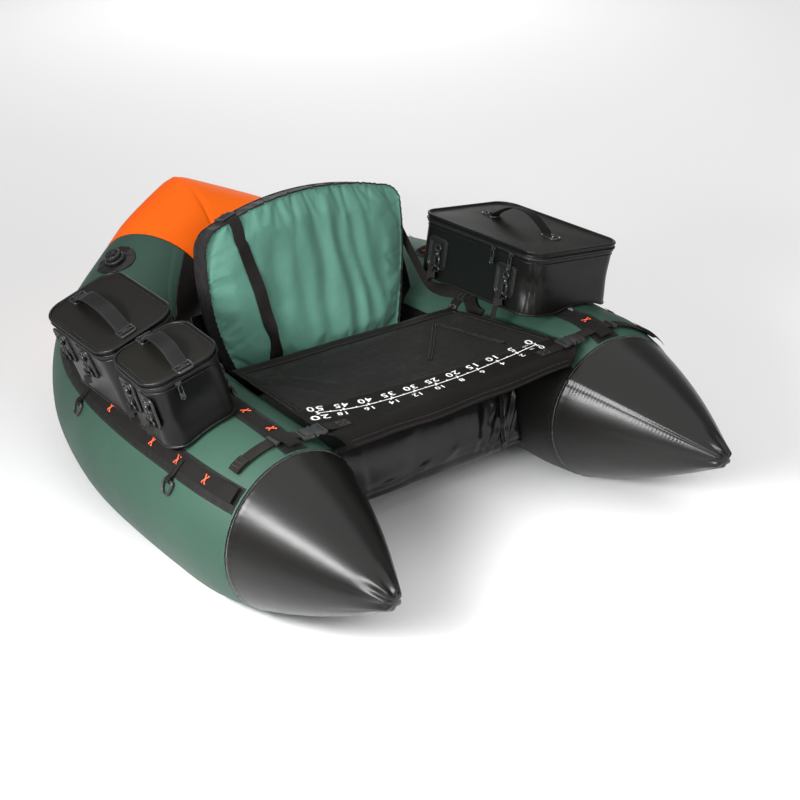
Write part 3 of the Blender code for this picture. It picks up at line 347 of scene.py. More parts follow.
GREEN = coated("hull_green_fabric", (51, 78, 66), (43, 69, 58), 0.52, weave=0.00003, spec=0.22)
ORANGE = coated("bow_orange_fabric", (255, 108, 8), (252, 92, 5), 0.55, weave=0.00003, spec=0.12)
PVC = coated("hull_black_pvc", (20, 19, 18), (15, 14, 14), 0.29, spread=0.04, weave=0.000012, spec=0.32)
INNER = coated("inner_side_black_pvc", (15, 14, 13), (10, 10, 9), 0.42, spec=0.28)
BAG = coated("bag_shell", (15, 15, 14), (10, 10, 9), 0.32, spread=0.06, weave=0.00001, spec=0.20, coat=0.03)
LID = coated("bag_lid_film", (20, 19, 16), (14, 13, 11), 0.45, spread=0.06, weave=0.00001, spec=0.20)
SKIRT = coated("skirt_pvc", (11, 11, 12), (7, 7, 8), 0.21, spread=0.05, weave=0.000004, spec=0.30)
# the light colours of these moulded parts also paint the highlight on their convex edges
RUBBER = moulded("piping_rubber", (13, 13, 13), 0.32, light=(34, 34, 33), spec=0.26)
PLASTIC = moulded("buckle_plastic", (27, 27, 28), 0.40)
GLOSSY = moulded("glossy_plastic", (24, 24, 25), 0.22)
RING = moulded("ring_coating", (30, 29, 29), 0.34, light=(86, 84, 82))
PLATE = moulded("bag_plate", (22, 22, 22), 0.32, light=(50, 50, 50), spec=0.36)
BASE_WEB = nylon("base_band", (15, 14, 14), (10, 10, 10), (27, 25, 24), rough=0.62, axes=(0, 1), sheen=0.04)
WEB = webbing("strap_webbing", (22, 20, 19), (48, 44, 41))
WEB_FINE = webbing("daisy_webbing", (16, 15, 14), (34, 31, 29), rib=0.0016, cross=0.0012, deep=0.00010)
HANDLE = moulded("handle_pad", (14, 14, 14), 0.42, light=(40, 40, 39), spec=0.24)
CLOTH = nylon("backrest_green_cloth", (86, 134, 119), (70, 116, 102), (118, 162, 146), sheen=0.15)
GUSSET = nylon("backrest_black_cloth", (25, 22, 22), (17, 16, 16), (46, 42, 42), axes=(0, 1), sheen=0.10)
ORANGE_THREAD = thread("orange_thread", (250, 98, 52))
GREY_THREAD = thread("grey_thread", (150, 148, 146))
BLACK_THREAD = thread("black_thread", (40, 39, 38))
WHITE = moulded("ruler_print", (236, 236, 234), 0.5, light=(245, 245, 245), grain=0.00001)
BLADDER = coated("air_bladder_film", (168, 171, 170), (150, 152, 152), 0.30)
ZIP = nylon("zip_tape", (20, 20, 20), (14, 14, 14), (40, 40, 40), axes=(0, 1))


# ------------------------------------------------------------------ mesh helpers
def mesh_object(name, V, F, mats, uv=None, index=None, smooth=True, body="hull", angle=None):
    """An object from points in construction axes and faces; uv is per point."""
    me = bpy.data.meshes.new(name)
    V = np.asarray(V, float).reshape(-1, 3) + O
    me.from_pydata(V.tolist(), [], [list(f) for f in F])
    me.update()
    for m in (mats if isinstance(mats, (list, tuple)) else [mats]):
        me.materials.append(m)
    if index is not None:
        me.polygons.foreach_set("material_index", np.asarray(index, np.int32))
    if uv is not None:
        layer = me.uv_layers.new(name="UVMap")
        li = np.empty(len(me.loops), np.int32)
        me.loops.foreach_get("vertex_index", li)
        layer.data.foreach_set("uv", np.asarray(uv, np.float32).reshape(-1, 2)[li].ravel())
    if smooth:
        me.shade_smooth()
        if angle:
            me.set_sharp_from_angle(angle=math.radians(angle))
    ob = bpy.data.objects.new(name, me)
    bpy.context.scene.collection.objects.link(ob)
    if body:
        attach(ob, body)
    return ob


def grid_faces(nu, nv, start=0, flip=False):
    a = (np.arange(nu - 1)[:, None] * nv + np.arange(nv - 1)[None]).ravel() + start
    q = np.stack([a, a + nv, a + nv + 1, a + 1], 1)
    return q[:, ::-1] if flip else q


def grid_uv(P):
    """Metres along and across a grid of points."""
    u = np.r_[0, np.cumsum(np.linalg.norm(np.diff(P, axis=0), axis=2).mean(1))]
    v = np.r_[0, np.cumsum(np.linalg.norm(np.diff(P, axis=1), axis=2).mean(0))]
    return np.stack(np.broadcast_arrays(u[:, None], v[None]), -1)


def weld(ob, dist=1e-6):
    bm = bmesh.new()
    bm.from_mesh(ob.data)
    bmesh.ops.remove_doubles(bm, verts=bm.verts, dist=dist)
    bmesh.ops.dissolve_degenerate(bm, dist=1e-7, edges=bm.edges)
    bmesh.ops.recalc_face_normals(bm, faces=bm.faces)
    bm.to_mesh(ob.data)
    bm.free()
    return ob


def skin(name, P, mats, side=1, body="hull", closed=False, index=None, thick=0.0, smooth=True, angle=None, offset=-1.0):
    """A surface from a grid of points; closed welds its last column to its first. Normals come out as u x v (or turned on the left)."""
    nu, nv = P.shape[:2]
    F = grid_faces(nu, nv, flip=side > 0)
    ob = mesh_object(name, P, F, mats, grid_uv(P), index, smooth, body, angle)
    if closed:
        bm = bmesh.new()
        bm.from_mesh(ob.data)
        bmesh.ops.remove_doubles(bm, verts=bm.verts, dist=2e-6)
        bm.to_mesh(ob.data)
        bm.free()
    if thick:
        m = ob.modifiers.new("wall", "SOLIDIFY")
        m.thickness = thick
        m.offset = offset
    return ob


class Bits:
    """Small solids gathered into one mesh."""

    def __init__(self):
        self.V, self.F, self.U, self.n = [], [], [], 0

    def add(self, V, F, U=None):
        V = np.asarray(V, float).reshape(-1, 3)
        self.V.append(V)
        self.F += [[i + self.n for i in f] for f in F]
        self.U.append(np.zeros((len(V), 2)) if U is None else np.asarray(U, float).reshape(-1, 2))
        self.n += len(V)

    def box(self, M, size, bevel=0.0):
        """A box with chamfered edges, placed by a 4x4 matrix."""
        x, y, z = [s / 2 for s in size]
        b = min(bevel, x * 0.9, y * 0.9, z * 0.9)
        if b <= 0:
            v = [(sx * x, sy * y, sz * z) for sx in (-1, 1) for sy in (-1, 1) for sz in (-1, 1)]
            f = [(0, 1, 3, 2), (4, 6, 7, 5), (0, 4, 5, 1), (2, 3, 7, 6), (0, 2, 6, 4), (1, 5, 7, 3)]
            self.add(place(M, v), f, [(p[0], p[1]) for p in v])
            return
        bm = bmesh.new()
        bmesh.ops.create_cube(bm, size=1.0)
        bmesh.ops.scale(bm, verts=bm.verts, vec=size)
        bmesh.ops.bevel(bm, geom=bm.edges[:], offset=b, segments=2, profile=0.6, affect="EDGES")
        bm.verts.ensure_lookup_table()
        v = [tuple(q.co) for q in bm.verts]
        f = [[q.index for q in g.verts] for g in bm.faces]
        bm.free()
        self.add(place(M, v), f, [(p[0], p[1]) for p in v])

    def tube(self, pts, r, sides=8, closed=False, flat=1.0, up=None):
        """A round (or flattened) rod along points, with domed ends."""
        P = np.asarray(pts, float)
        n = len(P)
        if closed:
            T = np.roll(P, -1, 0) - np.roll(P, 1, 0)
        else:
            T = np.gradient(P, axis=0)
        T /= np.maximum(np.linalg.norm(T, axis=1), 1e-12)[:, None]
        ref = np.array(up if up is not None else (0.0, 0.0, 1.0))
        if abs(T[0] @ ref) > 0.95 and up is None:
            ref = np.array((1.0, 0.0, 0.0))
        A = np.empty_like(P)
        a = ref - (ref @ T[0]) * T[0]
        a /= np.linalg.norm(a)
        for i in range(n):
            if up is not None:
                a = ref - (ref @ T[i]) * T[i]
            else:
                a = a - (a @ T[i]) * T[i]
            a = a / max(np.linalg.norm(a), 1e-9)
            A[i] = a
        B = np.cross(T, A)
        rr = np.broadcast_to(np.asarray(r, float), (n,))
        th = np.arange(sides) * 2 * math.pi / sides
        V = P[:, None] + rr[:, None, None] * (np.cos(th)[None, :, None] * A[:, None] * flat + np.sin(th)[None, :, None] * B[:, None])
        V = V.reshape(-1, 3)
        F = []
        for i in range(n if closed else n - 1):
            j = (i + 1) % n
            for k in range(sides):
                l = (k + 1) % sides
                F.append((i * sides + k, i * sides + l, j * sides + l, j * sides + k))
        L = np.r_[0, np.cumsum(np.linalg.norm(np.diff(P, axis=0), axis=1))]
        U = [(L[i], 2 * math.pi * rr[i] * k / sides) for i in range(n) for k in range(sides)]
        if not closed:
            e0 = P[0] - T[0] * rr[0] * 0.45
            e1 = P[-1] + T[-1] * rr[-1] * 0.45
            V = np.vstack([V, e0, e1])
            c0, c1 = n * sides, n * sides + 1
            F += [(c0, (k + 1) % sides, k) for k in range(sides)]
            F += [(c1, (n - 1) * sides + k, (n - 1) * sides + (k + 1) % sides) for k in range(sides)]
            U += [(0, 0), (L[-1], 0)]
        self.add(V, F, U)

    def strap(self, C, A, width, t=0.0016, across=5, crown=0.00025, uv0=0.0):
        """A strap of thickness t: centres C, across directions A; its own flat follows them."""
        C, A = np.asarray(C, float), np.asarray(A, float)
        n = len(C)
        A = A / np.linalg.norm(A, axis=1)[:, None]
        T = np.gradient(C, axis=0)
        T /= np.maximum(np.linalg.norm(T, axis=1), 1e-12)[:, None]
        A = A - (A * T).sum(1)[:, None] * T
        A /= np.linalg.norm(A, axis=1)[:, None]
        N = np.cross(T, A)
        w = np.broadcast_to(np.asarray(width, float), (n,))
        v = np.linspace(-0.5, 0.5, across)
        L = np.r_[0, np.cumsum(np.linalg.norm(np.diff(C, axis=0), axis=1))] + uv0
        top = C[:, None] + (v[None] * w[:, None])[..., None] * A[:, None] + N[:, None] * (t / 2 - crown * (2 * np.abs(v)) ** 4)[None, :, None]
        bot = C[:, None] + (v[None] * w[:, None])[..., None] * A[:, None] - N[:, None] * (t / 2 - crown * (2 * np.abs(v)) ** 4)[None, :, None]
        loop = np.concatenate([top, bot[:, ::-1]], 1)
        m = 2 * across
        V = loop.reshape(-1, 3)
        vv = np.r_[v, v[::-1]]
        U = np.stack(np.broadcast_arrays(L[:, None], vv[None] * w[:, None]), -1)
        F = []
        for i in range(n - 1):
            for k in range(m):
                l = (k + 1) % m
                F.append((i * m + k, (i + 1) * m + k, (i + 1) * m + l, i * m + l))
        F.append(list(range(m)))
        F.append([(n - 1) * m + k for k in range(m)][::-1])
        self.add(V, F, U)

    def stitches(self, C, N, step=0.0042, length=0.0030, r=0.00038, lift=0.0001, zig=0.0, across=None):
        """A row of thread stitches along a path, lying on the surface with normals N."""
        C, N = np.asarray(C, float), np.asarray(N, float)
        L = np.r_[0, np.cumsum(np.linalg.norm(np.diff(C, axis=0), axis=1))]
        at = np.arange(step / 2, L[-1], step)
        for q, s in enumerate(at):
            a = np.array([np.interp(s - length / 2, L, C[:, k]) for k in range(3)])
            b = np.array([np.interp(s + length / 2, L, C[:, k]) for k in range(3)])
            nn = np.array([np.interp(s, L, N[:, k]) for k in range(3)])
            nn /= np.linalg.norm(nn)
            d = b - a
            d /= max(np.linalg.norm(d), 1e-9)
            w = np.cross(nn, d)
            if zig:
                sg = 1 if q % 2 else -1
                a, b = a + w * zig * sg, b - w * zig * sg
            V, m = [], (a + b) / 2
            V.append(a - nn * r * 0.6)
            for f, k in ((0.25, 0.9), (0.75, 0.9)):
                c = a + (b - a) * f + nn * lift
                V += [c + w * r, c + nn * r * 1.2 * k, c - w * r, c - nn * r * 0.5]
            V.append(b - nn * r * 0.6)
            F = [(0, 1 + (k + 1) % 4, 1 + k) for k in range(4)]
            F += [(1 + k, 1 + (k + 1) % 4, 5 + (k + 1) % 4, 5 + k) for k in range(4)]
            F += [(9, 5 + k, 5 + (k + 1) % 4) for k in range(4)]
            self.add(V, F)

    def make(self, name, mats, body="hull", smooth=True, angle=45):
        ob = mesh_object(name, np.vstack(self.V), self.F, mats, np.vstack(self.U), None, smooth, body, angle)
        bm = bmesh.new()
        bm.from_mesh(ob.data)
        bmesh.ops.recalc_face_normals(bm, faces=bm.faces)
        bm.to_mesh(ob.data)
        bm.free()
        return ob


def place(M, V):
    V = np.asarray(V, float).reshape(-1, 3)
    m = np.array(M, float)
    return V @ m[:3, :3].T + m[:3, 3]


def turned(profile, steps=40, ribs=0, rib_h=0.0, rib_z=(-9, 9)):
    """(verts, faces) of an outline (radius, height) turned about Z; its ends lie on the axis or it is closed."""
    pr = np.array(profile, float)
    th = np.arange(steps) * 2 * math.pi / steps
    V, F = [], []
    n = len(pr)
    for k in range(steps):
        for r, z in pr:
            rr = r + (rib_h * (0.5 + 0.5 * math.cos(ribs * th[k])) if ribs and rib_z[0] <= z <= rib_z[1] and r > 1e-6 else 0.0)
            V.append((rr * math.cos(th[k]), rr * math.sin(th[k]), z))
    for k in range(steps):
        l = (k + 1) % steps
        for i in range(n - 1):
            F.append((k * n + i, l * n + i, l * n + i + 1, k * n + i + 1))
    return V, F


def frame_matrix(origin, x, y, z):
    m = np.eye(4)
    m[:3, 0], m[:3, 1], m[:3, 2], m[:3, 3] = x, y, z, origin
    return m


# ------------------------------------------------------------------ hull
GREEN_EDGE = np.array([(0.0, -42.0), (0.12, -48.0), (0.43, -57.5), (0.60, -57.0), (0.75, -63.0), (0.87, -66.0), (0.95, -54.0), (1.03, -42.0)])


def green_edge(S):
    """Where the green top gives way to the black inner side, in degrees from the crown."""
    return np.interp(S, GREEN_EDGE[:, 0], GREEN_EDGE[:, 1])


def swell(P, N, seed, amount=0.0007):
    """Air pressure isn't quite even: a slow waviness of the surface."""
    return P + N * (smooth_noise(P, 5.0, seed) * amount + smooth_noise(P, 16.0, seed + 3) * amount * 0.35)[..., None]


def pontoon(side, hand):
    S = np.concatenate([np.linspace(0.0006, 0.03, 8), np.linspace(0.036, SEAM - 0.03, 150), np.linspace(SEAM - 0.024, SEAM - 0.0006, 6)])
    edge = green_edge(S)
    green = 76
    black = 34
    under = 26
    D = np.empty((len(S), green + black + under + 1))
    for i, e in enumerate(edge):
        # from the black edge over the crown and down outboard to the keel, then the keel to the black again
        D[i] = np.r_[np.linspace(e, 180.0, green, endpoint=False), np.linspace(180.0, 215.0, under, endpoint=False), np.linspace(215.0, 360.0 + e, black + 1)]
    P, N = tube(S, D, side)
    P = swell(P, N, side * 2.0)
    # gathers where the cover meets the cone and the bow
    near = np.exp(-S / 0.010) + np.exp(-(SEAM - S) / 0.010)
    P = P - N * (near[:, None] * (0.0016 + 0.0006 * np.sin(np.radians(D) * 47 + side)))[..., None]
    P[..., 2] = np.maximum(P[..., 2], 0.0004)
    cols = np.r_[np.zeros(green), np.zeros(under), np.ones(black)].astype(int)
    index = np.tile(cols, len(S) - 1)
    ob = skin(hand + "_pontoon_cloth", P, [GREEN, INNER], side, closed=True, index=index)
    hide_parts(hand + "_pontoon_cover")
    return ob


pontoon(-1, "left")
pontoon(1, "right")

# welded seams: a lap line on the green above the black side, and the piping between the two
for side, hand in ((-1, "left"), (1, "right")):
    S = np.linspace(0.004, SEAM - 0.004, 240)
    e = green_edge(S)
    bits = Bits()
    P, N = tube(S, e[:, None], side, 0.0006)
    bits.tube(P[:, 0], 0.0021, 8)
    bits.make(hand + "_side_piping", RUBBER)
    # lap: a strip of the same cloth 24 mm wide, a film thicker than the hull
    w = np.degrees(0.026 / frames(S)[4])
    D = e[:, None] + w[:, None] * np.linspace(0.06, 1.0, 5)[None]
    off = np.array([0.0010, 0.0011, 0.0011, 0.0010, -0.0002])
    P, N = tube(S, D, side, np.broadcast_to(off, D.shape))
    skin(hand + "_lap_seam", P, GREEN, side)


def cone(side, hand):
    """Black end cone: sewn to the hull, a lap seam along its inner top, and a pinched, folded tip."""
    F = np.concatenate([np.linspace(0, 0.06, 14), np.linspace(0.066, 0.80, 130), np.linspace(0.806, 1.0, 56)])
    n = 176
    seam_deg = -53.5
    D = seam_deg + np.linspace(0, 360, n + 1)
    P, N = cone_at(F, D, side)
    c0 = frames([0.0])[0][0]
    m = np.array([side, 1, 1])
    axis = (c0 + (TIP - c0) * F[:, None]) * m
    Dg, Fg = np.broadcast_to(D, (len(F), n + 1)), np.broadcast_to(F[:, None], (len(F), n + 1))
    rr = np.linalg.norm(P - axis[:, None], axis=2)
    rel = (Dg - seam_deg + 180) % 360 - 180            # degrees from the seam
    arc = np.radians(rel) * rr                         # metres from the seam
    d = np.zeros_like(rr)
    # lap: the upper panel lies on the lower one, a step 1.1 mm high, fading at the tip
    upper = (rel > 0) & (rel < 170)
    step = np.where(rel > 0, np.exp(-np.abs(arc) / 0.016), 0.0)
    d += 0.0012 * step
    d -= 0.0012 * np.exp(-((arc + 0.0012) / 0.0016) ** 2)
    # thread pulls little puckers into the cloth either side of the seam
    run = Fg * np.linalg.norm(TIP - c0)
    puck = np.sin(2 * math.pi * run / 0.0062)
    fade = np.clip((0.86 - Fg) / 0.10, 0, 1) * np.clip((Fg - 0.02) / 0.05, 0, 1)
    d += 0.00045 * puck * np.exp(-((arc + 0.007) / 0.0050) ** 2) * fade
    d += 0.00022 * puck * np.exp(-((arc - 0.006) / 0.0040) ** 2) * fade
    # sewn edge against the hull
    d -= 0.0022 * np.exp(-(run / 0.0045) ** 2)
    d += 0.0006 * np.exp(-((run - 0.008) / 0.004) ** 2)
    d += 0.0005 * np.sin(np.radians(Dg) * 61) * np.exp(-(run / 0.014) ** 2)
    # the tip: folds of cloth gathered into the pinch
    close = np.clip((Fg - 0.80) / 0.20, 0, 1)
    for centre, wide, deep in ((8, 13, 0.0075), (52, 10, 0.0060), (96, 16, 0.0085), (150, 12, 0.0050), (205, 16, 0.0070), (262, 11, 0.0060), (-32, 8, 0.0050)):
        x = ((Dg - centre + 180) % 360 - 180) / wide
        d -= deep * np.exp(-x * x) * close ** 1.4 * (1 - 0.35 * close)
    for centre, wide, high in ((30, 9, 0.0026), (74, 8, 0.0022), (124, 9, 0.0028), (232, 10, 0.0020), (-14, 7, 0.0022)):
        x = ((Dg - centre + 180) % 360 - 180) / wide
        d += high * np.exp(-x * x) * close ** 1.6
    # long soft tension folds running back from the tip
    for centre, wide, deep, start in ((70, 5, 0.0012, 0.45), (118, 6, 0.0014, 0.40), (-100, 6, 0.0011, 0.5), (20, 4, 0.0009, 0.55)):
        x = ((Dg - centre - 6 * Fg + 180) % 360 - 180) / wide
        d -= deep * np.exp(-x * x) * np.clip((Fg - start) / (1 - start), 0, 1) ** 1.5
    P = P + N * d[..., None]
    P = swell(P, N, 11.0 + side, 0.0006)
    # blunt end: close it with a rolled, flattened knot of cloth
    end = P[-1].mean(0)
    extra = []
    for k, (f, g) in enumerate(((0.88, 0.004), (0.62, 0.0066), (0.30, 0.0078), (0.0, 0.0080))):
        ring = end + (P[-1] - end) * f
        ring[:, 1] -= g
        extra.append(ring)
    P = np.concatenate([P, np.array(extra)], 0)
    P[..., 2] = np.maximum(P[..., 2], 0.0004)
    ob = skin(hand + "_cone_cloth", P, PVC, side, closed=True)
    weld(ob, 2e-5)
    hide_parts(hand + "_cone_cover")
    # the row of stitches round the seam
    S = np.array([-0.0045])
    deg = np.linspace(-200, 160, 400)
    Q, M = cone_at([0.016], deg, side, 0.0002)
    row = Bits()
    row.stitches(Q[0], M[0], 0.0046, 0.0031, 0.00042)
    row.make(hand + "_cone_stitches", GREY_THREAD)
    # stitches along the lap seam
    f = np.linspace(0.02, 0.86, 120)
    Q, M = cone_at(f, [seam_deg + 0.0], side, 0.0)
    r = np.linalg.norm(Q[:, 0] - (c0 + (TIP - c0) * f[:, None]) * m, axis=1)
    DD = seam_deg + np.degrees(0.0045 / r)
    Q = np.array([cone_at([a], [b], side, 0.0011)[0][0, 0] for a, b in zip(f, DD)])
    M = np.array([cone_at([a], [b], side)[1][0, 0] for a, b in zip(f, DD)])
    row = Bits()
    row.stitches(Q, M, 0.0044, 0.0030, 0.00034)
    row.make(hand + "_cone_seam_stitches", BLACK_THREAD)
    return ob


cone(-1, "left")
cone(1, "right")


def bow():
    """Orange bow: two arms to a mitre whose outer corner the air rounds off."""
    arm = LENGTH - 0.100
    n = 112
    D = np.linspace(0, 360, n + 1)
    S = np.concatenate([np.linspace(SEAM + 0.0006, SEAM + 0.012, 5), np.linspace(SEAM + 0.018, arm, 12)])
    P, N = tube(S, D, 1)
    t1 = frames([LENGTH - 0.02])[1][0]
    q = P[-1]
    mitre = q + t1[None] * (q[:, :1] / -t1[0])
    mitre[:, 0] = 0.0
    outer = (0.5 + 0.5 * np.sin(np.radians(D))) ** 1.5
    rows = []
    for w in np.linspace(0.05, 1, 26):
        p = q + (mitre - q) * w
        p[:, 1] -= 0.062 * outer * w ** 1.45
        # the arm narrows a little to the crease, so the light breaks there
        rows.append(p)
    R = np.concatenate([P, np.array(rows)], 0)
    R[-1, :, 0] = 0.0
    crease = np.exp(-((len(R) - 1 - np.arange(len(R))) / 2.2) ** 2)
    mid = R.mean(1, keepdims=True)
    inward = (mid - R) / np.linalg.norm(mid - R, axis=2, keepdims=True)
    inward[..., 0] = 0
    R = R + inward * (0.0035 * crease)[:, None, None]
    R[-1, :, 0] = 0.0
    near = np.exp(-(S[0] - S[0] + np.r_[S - S[0], np.full(26, 1.0)]) / 0.008)
    R = R + inward * (near * 0.0015)[:, None, None]
    left = R[::-1].copy()
    left[..., 0] *= -1
    full = np.concatenate([R, left[1:]], 0)
    nn = np.zeros_like(full)
    full = full + np.stack([0 * full[..., 0], 0 * full[..., 0], smooth_noise(full, 9.0, 5.0) * 0.0010], -1)
    ob = skin("bow_cloth", full, ORANGE, 1, closed=True)
    bm = bmesh.new()
    bm.from_mesh(ob.data)
    bmesh.ops.recalc_face_normals(bm, faces=bm.faces)
    bm.to_mesh(ob.data)
    bm.free()
    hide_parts("bow_cover")
    for side, hand in ((-1, "left"), (1, "right")):
        deg = np.linspace(0, 360, 240)
        Q, M = tube([SEAM + 0.0045], deg, side, 0.0001)
        row = Bits()
        row.stitches(Q[0], M[0], 0.0046, 0.0031, 0.0004)
        row.make(hand + "_bow_stitches", thread(hand + "_bow_thread", (226, 92, 30)))


bow()
for hand in ("left", "right"):
    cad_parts[hand + "_bladder"].data.materials.clear()
    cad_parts[hand + "_bladder"].data.materials.append(BLADDER)

# ------------------------------------------------------------------ valves
VALVE_S, VALVE_DEG = LENGTH - 0.240, 12.0
for side, hand in ((-1, "left"), (1, "right")):
    vc, vt, vo, vu, vr = [x[0] for x in frames([VALVE_S])]
    m = np.array([side, 1, 1])
    a = math.radians(VALVE_DEG)
    n = (math.sin(a) * vo + math.cos(a) * vu) * m
    t = vt * m
    rr = np.concatenate([np.linspace(0.0165, 0.0425, 10), [0.0437, 0.0442, 0.0442]])
    lift = np.concatenate([np.full(10, 0.0026), [0.0023, 0.0012, -0.0006]])
    th = np.linspace(0, 2 * math.pi, 73)
    P = np.empty((len(rr), len(th), 3))
    for i, (r, h) in enumerate(zip(rr, lift)):
        ang = a + r * np.sin(th) / vr
        P[i] = (vc + vt * (r * np.cos(th))[:, None] + (vr + h + 0.0004 * np.sin(9 * th)[:, None] * (r / 0.044)) * (np.sin(ang)[:, None] * vo + np.cos(ang)[:, None] * vu)) * m
    patch = skin(hand + "_valve_disc", P, PVC, side, closed=True)
    weld(patch)
    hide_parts(hand + "_valve_patch")
    seat = vc * m + n * (vr + 0.0012 + 0.0016 + 0.0003)
    x = np.cross(n, (0, 0, 1.0))
    x /= np.linalg.norm(x)
    M = frame_matrix(seat, x, np.cross(n, x), n)
    # flange with finger ribs, and the neck
    b = Bits()
    V, F = turned([(0.0118, 0.0046), (0.0186, 0.0050), (0.0204, 0.0040), (0.0214, 0.0018), (0.0216, -0.0002), (0.0130, -0.0006), (0.0128, -0.018), (0.0098, -0.020), (0.0098, 0.0030), (0.0118, 0.0046)], 64, 16, 0.0007, (0.0005, 0.0045))
    b.add(place(M, V), F)
    V, F = turned([(0.0, 0.0033), (0.0112, 0.0036), (0.0112, 0.0030), (0.0, 0.0027)], 32)
    b.add(place(M, V), F)
    body = b.make(hand + "_valve_flange", PLASTIC)
    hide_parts(hand + "_valve_body")
    # cap: ribbed rim, recessed crown with a bar grip
    b = Bits()
    V, F = turned([(0.0, 0.0115), (0.0060, 0.0115), (0.0066, 0.0100), (0.0105, 0.0094), (0.0150, 0.0100), (0.0164, 0.0092), (0.0172, 0.0076), (0.0172, 0.0014), (0.0164, 0.0004), (0.0, 0.0004)], 96, 24, 0.0011, (0.0012, 0.0080))
    C = frame_matrix(seat + n * 0.0053, x, np.cross(n, x), n)
    b.add(place(C, V), F)
    b.box(C @ np.array(Matrix.Translation((0, 0, 0.0118))), (0.026, 0.0056, 0.0050), 0.0016)
    b.box(C @ np.array(Matrix.Translation((0, 0, 0.0106)) @ Matrix.Rotation(math.pi / 2, 4, "Z")), (0.022, 0.0036, 0.0024), 0.0010)
    cap = b.make(hand + "_valve_cap_ribbed", GLOSSY, hand + "_cap")
    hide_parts(hand + "_valve_cap")
    # tether ring lying round the neck
    b = Bits()
    th = np.linspace(0, 2 * math.pi, 40, endpoint=False)
    loop = np.stack([0.0236 * np.cos(th), 0.0236 * np.sin(th), 0.0012 + 0.0003 * np.cos(2 * th)], 1)
    loop[:, 2] += np.array([vr - math.sqrt(max(vr ** 2 - (0.0236 * math.sin(q)) ** 2, 0)) for q in th]) * -0.55
    b.tube(place(M, loop), 0.0011, 6, closed=True)
    b.make(hand + "_valve_tether", RUBBER)

# ------------------------------------------------------------------ gear webbing
TACKS = {"outer": [0.079, 0.159, 0.244, 0.318, 0.395, 0.470, 0.545, 0.620, 0.690, 0.745], "inner": [0.075, 0.155, 0.235, 0.315, 0.395, 0.475, 0.570, 0.600]}
COVERED = {-1: [(0.140, 0.560)], 1: [(0.140, 0.480)]}


def clear_of_bags(side, s):
    return all(not (a - 0.004 < s < b + 0.004) for a, b in COVERED[side])


def strip(side, S, D0, width, low, thick, across=7, bulge=None, wander=None, name="strip", mat=None, body="hull"):
    """A strap lying along the pontoon: `low` to low+thick above it, with an optional bulge along it."""
    r = frames(S)[4]
    half = np.degrees(width / 2 / r)
    v = np.linspace(-1, 1, across)
    D = (np.asarray(D0) * np.ones(len(S)))[:, None] + half[:, None] * v[None]
    if wander is not None:
        D = D + wander[:, None]
    b = np.zeros(len(S)) if bulge is None else bulge
    round_off = 0.0004 * np.abs(v) ** 6
    top = low + thick + b[:, None] - round_off[None]
    bot = low + b[:, None] + 0 * v[None]
    Pt, Nt = tube(S, D, side, top)
    Pb, _ = tube(S, D, side, bot)
    loop = np.concatenate([Pt, Pb[:, ::-1]], 1)
    m = loop.shape[1]
    L = np.r_[0, np.cumsum(np.linalg.norm(np.diff(Pt[:, across // 2], axis=0), axis=1))]
    vv = np.r_[v, v[::-1]] * width / 2
    U = np.stack(np.broadcast_arrays(L[:, None], vv[None]), -1)
    F = []
    n = len(S)
    for i in range(n - 1):
        for k in range(m):
            l = (k + 1) % m
            F.append((i * m + k, (i + 1) * m + k, (i + 1) * m + l, i * m + l))
    F.append(list(range(m)))
    F.append([(n - 1) * m + k for k in range(m)][::-1])
    bits = Bits()
    bits.add(loop.reshape(-1, 3), F, U)
    ob = bits.make(name, mat, body, angle=50)
    return ob, Pt, Nt


def tack(bits, side, s, deg, lift, size=0.0150, twist=0.0):
    """An X of bar-tack thread across a strap."""
    P, N = tube([s], [deg], side, lift)
    p, n = P[0, 0], N[0, 0]
    a = tube([s + 0.01], [deg], side, lift)[0][0, 0] - p
    a -= (a @ n) * n
    a /= np.linalg.norm(a)
    c = np.cross(n, a)
    for sg in (-1, 1):
        # arms lie mostly across the strap and cross in the middle
        d = c * math.cos(0.50) + a * math.sin(0.50) * sg
        d = d * math.cos(twist) + np.cross(n, d) * math.sin(twist)
        w = np.cross(n, d)
        for k in (-1, 0, 1):
            t = np.linspace(-1, 1, 9)
            jig = 0.00022 * np.sin(t * 9 + k * 2 + sg)
            pts = p + t[:, None] * d * (size / 2 - 0.0007 * abs(k)) + (w[None] * (k * 0.00066 + jig)[..., None] if np.ndim(jig) else 0) + n * (0.0004 + 0.0005 * (1 - t * t))[:, None]
            bits.tube(pts, 0.00046, 5)
    for sg in (-1, 1):
        for q in (-1, 1):
            e = p + (c * math.cos(0.50) + a * math.sin(0.50) * sg) * q * size * 0.47 + n * 0.0004
            dd = a * 1.0
            bits.tube([e - dd * 0.0016, e + n * 0.0003, e + dd * 0.0016], 0.00055, 5)


